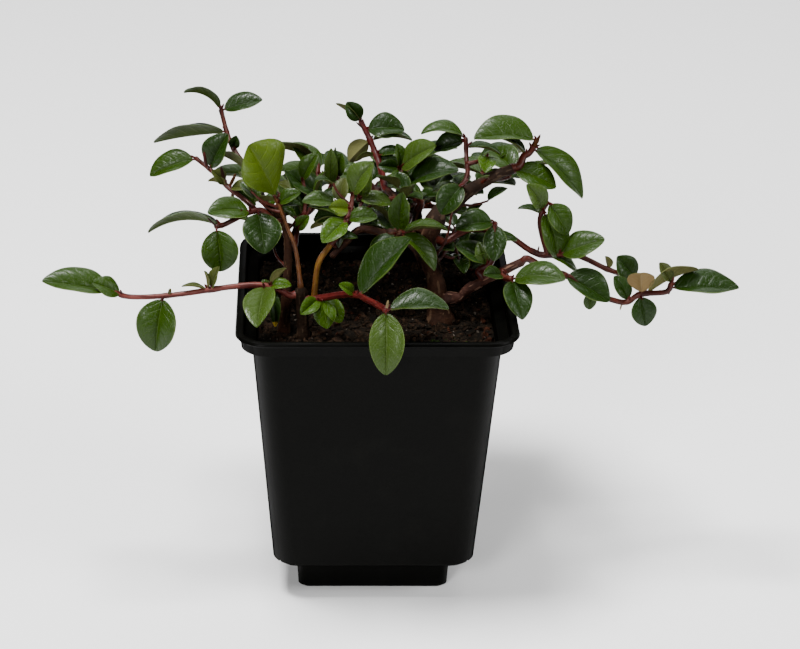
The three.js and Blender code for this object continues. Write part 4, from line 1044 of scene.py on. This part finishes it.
# One closed blade: its upper side with fold, waves and side veins, its under side with the rib, and its rim;
# across goes from one edge (-1) to the other (1), along from root (0) to tip (1)
def addLeaf(heap, pose, draw):
    probe = 5  # a row well inside the blade, where it is checked which side is up
    half = np.array(leaf["fineAcross"] if pose["fine"] else leaf["across"])
    even = np.linspace(0, 1, leaf["fineStations"] if pose["fine"] else leaf["stations"])
    line = leaf["evenShare"] * even + (1 - leaf["evenShare"]) * (1 - np.cos(math.pi * even)) / 2
    line = leaf["tipGap"] + (1 - 2 * leaf["tipGap"]) * line
    share = pose["petiole"] / pose["length"]
    middle = midribFrame(pose, share + (1 - share) * line)[0]
    tangent = np.gradient(middle, axis=0)
    tangent /= np.linalg.norm(tangent, axis=1)[:, None]
    normal = np.cross(pose["side"][None], tangent)
    normal = -normal if normal[probe] @ pose["normal"] < 0 else normal
    width = bladeHalf(pose, line)[:, None]
    across, along = np.concatenate([-half[:0:-1], half])[None, :], line[:, None]
    out = np.abs(across)
    fold = leaf["fold"] * pose["fold"]
    height = (np.sqrt(across ** 2 + leaf["crease"] ** 2) - leaf["crease"]) * width * math.sin(fold)
    height = height - leaf["roll"] * width * across ** 4 * vary(leaf["rollDraw"], draw)
    height = height + leaf["bulge"] * width * np.sin(math.pi * out) * np.sin(math.pi * along)
    phase = (along - leaf["veinLag"] * out - leaf["veinCurve"] * across ** 2) * leaf["veins"]
    offset = np.abs(phase - np.floor(phase) - 0.5) * 2
    vein = np.exp(-((1 - offset) / leaf["veinWidth"]) ** 2) * (1 - out ** 3) * np.minimum(1, 4 * out)
    relief = leaf["relief"] * pose["length"] * np.minimum(1, 5 * (1 - along))
    ripple = np.sin(2 * math.pi * (leaf["waves"] * along + draw()))
    wave = leaf["wave"] * width * ripple * out ** 2 * np.sign(across + 0.001)
    sway = leaf["sway"] * pose["length"] * (draw() - 0.5) * np.sin(math.pi * along)
    groove = leaf["groove"] * width * np.exp(-(across / leaf["grooveWidth"]) ** 2)
    height = height - relief * vein + wave - groove
    lateral = across * width * math.cos(fold) + sway
    thick = leaf["thick"] * (0.55 + 0.45 * (1 - across ** 2)) * min(1, 0.4 + 0.6 * np.max(width) / 5)
    rib = leaf["ribRise"] * np.exp(-(across / leaf["ribWidth"]) ** 2) * (1 - 0.8 * along)
    rib = rib * min(1, pose["length"] / leaf["fullLength"])
    upper = middle[:, None] + lateral[..., None] * pose["side"] + height[..., None] * normal[:, None]
    lower = upper - (thick + rib)[..., None] * normal[:, None]
    rows, columns = upper.shape[:2]
    count = rows * columns
    top = np.array(gridFaces(rows, columns))
    bottom = np.array(gridFaces(rows, columns, count))[:, ::-1]
    border = [i * columns for i in range(rows)] + [(rows - 1) * columns + j for j in range(1, columns)]
    border += [(rows - 1 - i) * columns + columns - 1 for i in range(1, rows)]
    border += [columns - 1 - j for j in range(1, columns - 1)]
    rim = [(border[i], border[i - 1], border[i - 1] + count, border[i] + count) for i in range(len(border))]
    here, ahead, aside = [upper[probe + i, columns // 2 + j] for i, j in ((0, 0), (1, 0), (0, 1))]
    if np.cross(ahead - here, aside - here) @ normal[probe] > 0:
        top, bottom, rim = top[:, ::-1], bottom[:, ::-1], [face[::-1] for face in rim]
    column = np.tile(np.arange(columns - 1), rows - 1)
    tint = pose["tint"]
    used = (tint, "rim_" + tint, "under_" + tints[tint][4])
    plain, edge, under = [leafOrder.index(name) for name in used]
    # The edge columns of the upper side take the rim material: a pale margin, partly fine hairs and partly
    # painted highlight
    blade = np.where((column == 0) | (column == columns - 2), edge, plain)
    if tint == "t":  # its last fifth has begun to yellow
        blade[len(blade) * 4 // 5:] = leafOrder.index("a")
    grid = np.stack(np.broadcast_arrays((across + 1) / 2, along), axis=-1).reshape(-1, 2)
    addPatch(heap, np.concatenate([upper.reshape(-1, 3), lower.reshape(-1, 3)]), [top, bottom, rim],
             [blade, under, edge], np.concatenate([grid, grid]))


# Small single parts: the stem or limb, how far along, where it points as an hour, length, radius, colour
smallParts = [
    ("foliage_front", 1, 0.3, 3.2, 0.55, "cream"),
    ("foliage_east_top", 0.77, 0.9, 5.2, 0.7, "orange"),
    ("foliage_east_top", 0.75, 11.2, 2.5, 0.45, "red"),
    ("foliage_east_top", 0.8, 2.4, 2.4, 0.4, "brown"),
    ("foliage_west_mid", 0.86, 11.8, 5.4, 0.9, "crimson"),
    ("foliage_west_mid", 0.6, 11.6, 6.4, 0.7, "brown"),
    ("foliage_west_mid", 0.55, 0.9, 5.4, 0.7, "orange"),
    ("foliage_west_mid", 0.5, 6.2, 5.6, 0.7, "orange"),
    ("foliage_west_low", 1, 10.6, 5.0, 0.35, "red"),
    ("foliage_west_low", 0.6, 0.4, 2.6, 0.4, "red"),
    ("foliage_west_runner", 0.69, 0.3, 2.4, 0.7, "green"),
    ("foliage_east_low_runner", 0.68, 6.4, 3.2, 0.3, "cream"),
    ("foliage_east_low_runner", 0.33, 10.5, 2.6, 0.5, "brown"),
    ("foliage_east_low_runner", 0.96, 6.0, 2.2, 0.5, "red"),
    ("foliage_crown_top", 0.9, 10.3, 4.2, 0.4, "brown"),
    ("foliage_east_runner", 0.53, 9.9, 5.0, 0.45, "red"),
    ("foliage_east_runner", 0.5, 0.3, 2.6, 0.35, "red"),
    ("foliage_crown_left", 0.22, 12.0, 2.4, 0.4, "red"),
    ("foliage_middle", 0.9, 6.4, 4.6, 0.7, "orange"),
    ("foliage_crown_right", 0.5, 9.0, 2.6, 0.45, "crimson"),
]


# A bud or scale: widest below its middle, drawn out to a point and bent a little upward. Each leaf of a
# foliage mass has one at its foot
bud = {
    "rings": 8, "sides": 8, "bend": 0.12, "foot": 0.55, "belly": 1.3, "point": 0.6, "least": 0.06,
    "forward": -0.15, "axilLength": (1.6, 1), "axilRadius": 0.42, "axilTurn": 1.2, "axilRise": 0.2,
}


def addBud(heap, root, axis, length, radius, wood):
    t = np.linspace(0, 1, bud["rings"])
    path = root + np.outer(t * length, axis) + np.outer(bud["bend"] * length * t ** 2, upward)
    radii = radius * (bud["foot"] + bud["belly"] * t) * (1 - t) ** bud["point"] + bud["least"]
    addTube(heap, path, radii, bud["sides"], woodOrder.index(wood))


def addAxilBud(heap, pose, draw):
    axis = unit(pose["axis"] + pose["normal"] * bud["axilTurn"])
    root = pose["root"] + pose["normal"] * bud["axilRise"]
    addBud(heap, root, axis, vary(bud["axilLength"], draw), bud["axilRadius"], "crimson")


def addSmallParts(heap, names):
    for host, at, hour, length, radius, wood in smallParts:
        if host in names:
            hour = math.radians(30 * hour)
            axis = np.array([math.sin(hour), bud["forward"], math.cos(hour)])
            addBud(heap, placeOn(grown[host], at)[0], unit(axis), length, radius, wood)


def makeFoliage():
    for area, names in areas.items():
        twigHeap, leafHeap = newHeap(), newHeap()
        for name in names:
            stem = grown[name]
            for number, part in enumerate([stem] + stem["twigs"]):
                addTwig(twigHeap, part, stem["seed"] + 40 * number, stem.get("skin", "red"))
            draw = seededNumbers(stem["seed"] + twigLook["meshSeed"])
            for pose in leavesOf[name]:
                addStalk(twigHeap, pose, "pinkish")
                addAxilBud(twigHeap, pose, draw)
                addLeaf(leafHeap, pose, draw)
        for number, (part, name, stem) in enumerate(finerTwigs):
            if part == area:
                addTwig(twigHeap, stem, twigLook["finerSeed"] + number, "red")
                draw = seededNumbers(twigLook["finerLeafSeed"] + number)
                for pose in leavesOf[name]:
                    addStalk(twigHeap, pose, "red")
                    addLeaf(leafHeap, pose, draw)
        addSmallParts(twigHeap, names)
        buildPiece("twigs_" + area, twigHeap, list(woodMaterials.values()), names)
        buildPiece("leaves_" + area, leafHeap, list(leafMaterials.values()), names)
        print("foliage", area, "made")


makeFoliage()

# Pot: its outline goes from the foot up, over the rim and down the inside, as half width, height and corner
# radius; its two plastics have shine, roughness and dust, and the second is what inside and inHeight mark off
pot = {
    "cornerSteps": 9,
    "outline": [(24.2, 0, 3), (25, 0.8, 3), (25.6, 12.2, 3), (26.2, 12.8, 3), (32.5, 12.8, 7.4),
                (33.4, 13.7, 8), (39.77, 94.4, 8), (40.5, 94.8, 8.4), (43.1, 95, 8.5), (43.5, 98.5, 8.6),
                (44.7, 98.7, 10), (45, 99.2, 10), (44.6, 100, 9.8), (42.6, 100, 7.8), (42.2, 99.4, 7.5),
                (42, 96, 7.2), (38.6, 95, 7), (32.3, 15, 6.4), (31.2, 14, 6), (25.2, 14, 3),
                (23.8, 13.2, 2.6), (23.4, 1.2, 2.6)],
    "drainRadius": 3.5, "drainPlace": 28.6, "drainHeight": 13.4, "drillDepth": 10, "drillSides": 24,
    "softEdge": 0.25, "softSteps": 2, "sharpAngle": 32, "inside": 42.3, "inHeight": 94.9,
    "plastics": {"potPlastic": (0.032, 0.35, 0.0), "potInside": (0.02, 0.5, 1.0)},
    "black": (0.0011, 0.0011, 0.0008, 1), "worn": (0.0020, 0.0020, 0.0015, 1), "dust": (0.05, 0.042, 0.03, 1),
    "cloudScale": 70.0, "speckleScale": 1500.0, "dustScale": 420.0, "dustPatchScale": 120.0,
}


def makePotMaterial(name, gloss, roughness, dusty):
    material, tree, shader = makeMaterial(name, roughness, gloss)
    place = addCoords(tree)
    cloud = addNoise(tree, place, pot["cloudScale"], 4.0, 0.6)
    speckle = addNoise(tree, place, pot["speckleScale"], 2.0, 0.6)
    plain = addMix(tree, addBand(tree, cloud, 0.5, 0.8), pot["black"], pot["worn"])
    dust = tree.nodes.new("ShaderNodeTexVoronoi")
    dust.inputs["Scale"].default_value = pot["dustScale"]
    tree.links.new(place, dust.inputs["Vector"])
    height = tree.nodes.new("ShaderNodeSeparateXYZ")
    tree.links.new(place, height.inputs[0])
    grit = addMath(tree, "MULTIPLY", addBand(tree, dust.outputs["Distance"], 0.16, 0.08),
                   addBand(tree, addNoise(tree, place, pot["dustPatchScale"]), 0.56, 0.62))
    grit = addMath(tree, "MULTIPLY", grit, addBand(tree, height.outputs[2], 0.088, 0.097, 0.0, dusty))
    tree.links.new(addMix(tree, grit, plain, pot["dust"]), shader.inputs["Base Color"])
    tree.links.new(addMath(tree, "MULTIPLY_ADD", cloud, 0.22, roughness - 0.11), shader.inputs["Roughness"])
    slant = tree.nodes.new("ShaderNodeLayerWeight")
    shine = addBand(tree, slant.outputs["Facing"], 0.45, 0.85, 0.5, 0.0)
    tree.links.new(shine, shader.inputs["Specular IOR Level"])
    addBump(tree, shader, addMath(tree, "MULTIPLY_ADD", speckle, 0.4, cloud), 0.25, 0.0003)
    return material


# Draws the open edge on, upward by rise and to its next size
def extrudeEdge(rise, scale, height):
    bpy.ops.mesh.extrude_region_move(TRANSFORM_OT_translate={"value": (0, 0, rise * mm)})
    bpy.ops.transform.resize(value=(scale, scale, 1), center_override=(0, 0, height * mm))


def closeShell():
    bpy.ops.mesh.select_all(action="SELECT")
    bpy.ops.mesh.normals_make_consistent(inside=False)
    bpy.ops.object.mode_set(mode="OBJECT")


def drillDrain(piece, x, y):
    place = (x * pot["drainPlace"] * mm, y * pot["drainPlace"] * mm, pot["drainHeight"] * mm)
    bpy.ops.mesh.primitive_cylinder_add(vertices=pot["drillSides"], radius=pot["drainRadius"] * mm,
                                        depth=pot["drillDepth"] * mm, location=place)
    drill = bpy.context.object
    cut = piece.modifiers.new("drain", "BOOLEAN")
    cut.operation = "DIFFERENCE"
    cut.object = drill
    bpy.ops.object.select_all(action="DESELECT")
    piece.select_set(True)
    bpy.context.view_layer.objects.active = piece
    bpy.ops.object.modifier_apply(modifier=cut.name)
    bpy.data.objects.remove(drill)


def makePot():
    half, height, corner = pot["outline"][0]
    firstCorner = corner / half
    bpy.ops.mesh.primitive_plane_add(size=2 * half * mm, location=(0, 0, height * mm))
    piece = bpy.context.object
    piece.name = "pot_shell"
    bpy.ops.object.transform_apply(location=True, rotation=True, scale=True)
    bpy.ops.object.mode_set(mode="EDIT")
    bpy.ops.mesh.select_all(action="SELECT")
    bpy.ops.mesh.bevel(offset=corner * mm, segments=pot["cornerSteps"], affect="VERTICES")
    for nextHalf, nextHeight, corner in pot["outline"][1:]:
        extrudeEdge(nextHeight - height, nextHalf / half, nextHeight)
        half, height = nextHalf, nextHeight
    closeShell()
    perRing = len(piece.data.vertices) // len(pot["outline"])
    for vertex in piece.data.vertices:  # the corners grew with their ring, and here get their own radius
        half, height, corner = pot["outline"][vertex.index // perRing]
        for axis in (0, 1):
            share = abs(vertex.co[axis]) / (half * mm)
            if share > 1 - firstCorner:
                share = 1 - corner / half * (1 - (share - 1 + firstCorner) / firstCorner)
            else:
                share = share * (1 - corner / half) / (1 - firstCorner)
            vertex.co[axis] = math.copysign(share * half * mm, vertex.co[axis])
    for x in (-1, 1):
        for y in (-1, 1):
            drillDrain(piece, x, y)
    soften = piece.modifiers.new("soften", "BEVEL")
    soften.width = pot["softEdge"] * mm
    soften.segments = pot["softSteps"]
    soften.limit_method = "ANGLE"
    bpy.ops.object.modifier_apply(modifier=soften.name)
    bpy.ops.object.shade_smooth_by_angle(angle=math.radians(pot["sharpAngle"]))
    for name, look in pot["plastics"].items():
        piece.data.materials.append(makePotMaterial(name, *look))
    for polygon in piece.data.polygons:
        x, y, z = polygon.center / mm
        if max(abs(x), abs(y)) < pot["inside"] and z > pot["inHeight"]:
            polygon.material_index = 1
    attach(piece, "root")
    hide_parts("pot")
    bpy.ops.object.select_all(action="DESELECT")
    print("pot made")


makePot()

# Soil: a crumbly surface inside the pot, with peat crumbs and bits of bark on it. under: the rings below its
# edge, as half width and rise; relief: how fine, which part of the noise and how high
soil = {
    "half": 38.3, "corner": 7.0, "level": growth["soilLevel"], "grid": 120, "edge": 0.5, "edgeDrop": 0.4,
    "under": ((31.3, -77), (23.0, -0.5), (22.8, -11.5)), "sharpAngle": 50,
    "relief": ((0.045, 1.7, 0.8), (0.16, 5.1, 0.8), (0.6, 9.3, 0.35)),
    "roughness": 0.9, "gloss": 0.05, "grainScale": 900.0, "patchScale": 140.0,
    "body": ((0.0024, 0.0018, 0.0011), (0.0180, 0.0104, 0.0054)),
    "seed": 5, "crumbs": 2600, "sizeSpread": 0.4, "largest": 1.6, "jagged": 0.3, "top": 98, "gap": 0.2,
    "mossPlace": (20, -30), "mossSpread": (4, 2.5),
}


def soilHeight(x, y):
    height = soil["level"]
    for scale, layer, size in soil["relief"]:
        height += size * noise.noise(Vector((scale * x, scale * y, layer)))
    return height


def roundCorner(x, y):
    inner = soil["half"] - soil["corner"]
    dx, dy = abs(x) - inner, abs(y) - inner
    if dx > 0 and dy > 0 and math.hypot(dx, dy) > soil["corner"]:
        pull = soil["corner"] / math.hypot(dx, dy)
        x, y = math.copysign(inner + dx * pull, x), math.copysign(inner + dy * pull, y)
    return x, y


def soilMaterial(name, dark, light):
    material, tree, shader = makeMaterial(name, soil["roughness"], soil["gloss"])
    place = addCoords(tree)
    grain = addNoise(tree, place, soil["grainScale"], 4.0, 0.7)
    patch = addNoise(tree, place, soil["patchScale"], 3.0, 0.6)
    colour = addMix(tree, addBand(tree, grain, 0.4, 0.72), (*dark, 1), (*light, 1))
    colour = addMix(tree, addBand(tree, patch, 0.4, 0.7), colour, (*dark, 1))
    tree.links.new(colour, shader.inputs["Base Color"])
    addBump(tree, shader, addMath(tree, "MULTIPLY_ADD", patch, 0.6, grain), 1.0, 0.0008)
    return material


def makeSoil():
    bpy.ops.mesh.primitive_grid_add(x_subdivisions=soil["grid"], y_subdivisions=soil["grid"],
                                    size=2 * soil["half"] * mm)
    piece = bpy.context.object
    piece.name = "soil_body"
    for vertex in piece.data.vertices:
        x, y = roundCorner(vertex.co.x / mm, vertex.co.y / mm)
        atEdge = max(abs(x), abs(y)) > soil["half"] - soil["edge"]
        vertex.co = (x * mm, y * mm, (soilHeight(x, y) - (soil["edgeDrop"] if atEdge else 0)) * mm)
    bpy.ops.object.mode_set(mode="EDIT")
    bpy.ops.mesh.select_all(action="DESELECT")
    bpy.ops.mesh.select_mode(type="EDGE")
    bpy.ops.mesh.select_non_manifold()
    last = soil["half"]
    for half, rise in soil["under"]:
        extrudeEdge(rise, half / last, 0)
        last = half
    bpy.ops.mesh.edge_face_add()
    closeShell()
    bpy.ops.object.shade_smooth_by_angle(angle=math.radians(soil["sharpAngle"]))
    piece.data.materials.append(soilMaterial("peat", *soil["body"]))
    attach(piece, "root")
    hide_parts("soil")
    bpy.ops.object.select_all(action="DESELECT")


# Crumbs: their share, size, how long they are, dark and light colour
crumbKinds = {
    "peat": (0.56, 0.75, 1.4, (0.0024, 0.0018, 0.0011), (0.0180, 0.0108, 0.0058)),
    "brown": (0.24, 0.95, 1.7, (0.0070, 0.0040, 0.0024), (0.042, 0.0230, 0.0126)),
    "rust": (0.05, 0.75, 1.5, (0.0130, 0.0040, 0.0020), (0.060, 0.020, 0.009)),
    "pale": (0.08, 0.42, 1.3, (0.045, 0.036, 0.028), (0.19, 0.16, 0.13)),
    "moss": (0.07, 0.6, 1.1, (0.004, 0.0075, 0.0010), (0.018, 0.030, 0.004)),
}


def makeCrumbs():
    bpy.ops.mesh.primitive_ico_sphere_add(subdivisions=1, radius=1)
    ball = bpy.context.object
    shape = np.array([vertex.co for vertex in ball.data.vertices])
    faces = np.array([list(polygon.vertices) for polygon in ball.data.polygons])
    bpy.data.objects.remove(ball)
    rng = np.random.default_rng(soil["seed"])
    heap = newHeap()
    limit = soil["half"] - soil["gap"]
    for slot, (name, kind) in enumerate(crumbKinds.items()):
        share, size, stretch = kind[:3]
        for _ in range(int(share * soil["crumbs"])):
            x, y = rng.uniform(-1, 1, 2) * (soil["half"] - 1)
            if name == "moss":  # it grows in one patch
                patch = zip(soil["mossPlace"], soil["mossSpread"])
                x, y = [middle + rng.normal(0, spread) for middle, spread in patch]
            x, y = roundCorner(x, y)
            scale = size * min(soil["largest"], np.exp(rng.normal(0, soil["sizeSpread"])))
            scale = scale * np.array([stretch, 1, 0.7])
            turned = shape * (1 + rng.uniform(-soil["jagged"], soil["jagged"], (len(shape), 1))) * scale
            axes = np.eye(3) if name == "peat" else np.linalg.qr(rng.normal(size=(3, 3)))[0]
            angle = rng.uniform(0, math.pi)
            cosine, sine = math.cos(angle), math.sin(angle)
            turn = np.array([[cosine, -sine, 0], [sine, cosine, 0], [0, 0, 1]])
            if np.linalg.det(axes) < 0:
                axes[:, 0] = -axes[:, 0]
            lift = min(soilHeight(x, y) + 0.2 * size, soil["top"])
            places = turned @ (axes @ turn).T + np.array([x, y, lift])
            places[:, :2] = np.clip(places[:, :2], -limit, limit)
            addPatch(heap, places, [faces], [slot])
    materials = [soilMaterial("crumb_" + name, *kind[3:]) for name, kind in crumbKinds.items()]
    piece = buildPiece("soil_crumbs", heap, materials)
    piece.data.polygons.foreach_set("use_smooth", np.zeros(len(piece.data.polygons), dtype=bool))


makeSoil()
makeCrumbs()
print("soil made")

# Plain pale floor and soft studio light: each lamp's place, aim, size and power
studio = {
    "floor": 0.93, "floorSize": 8, "world": 0.04,
    "lights": [("overhead", (-0.3, -0.05, 1.3), (0, 0, 0.08), 0.4, 38),
               ("front", (-0.7, -1.5, 0.9), (0, 0, 0.1), 0.5, 22),
               ("right", (1.2, -0.5, 0.9), (0, 0, 0.1), 0.5, 16),
               ("behind", (0.3, 1.2, 1.25), (0, 0.1, 0.1), 1.1, 12)],
}


def makeStudio():
    bpy.ops.mesh.primitive_plane_add(size=studio["floorSize"])
    floor = bpy.context.object
    floor.name = "floor"
    material, _, shader = makeMaterial("floorPaper", 0.9, 0.1)
    shader.inputs["Base Color"].default_value = (studio["floor"],) * 3 + (1,)
    floor.data.materials.append(material)
    world = bpy.data.worlds.new("studio")
    world.use_nodes = True
    world.node_tree.nodes["Background"].inputs[0].default_value = (1, 1, 1, 1)
    world.node_tree.nodes["Background"].inputs[1].default_value = studio["world"]
    bpy.context.scene.world = world
    for name, place, aim, size, power in studio["lights"]:
        bpy.ops.object.light_add(type="AREA", location=place)
        light = bpy.context.object
        light.name = name
        light.data.energy = power
        light.data.size = size
        light.rotation_euler = (Vector(aim) - Vector(place)).to_track_quat("-Z", "Y").to_euler()
    bpy.ops.object.select_all(action="DESELECT")


makeStudio()
print("studio made")
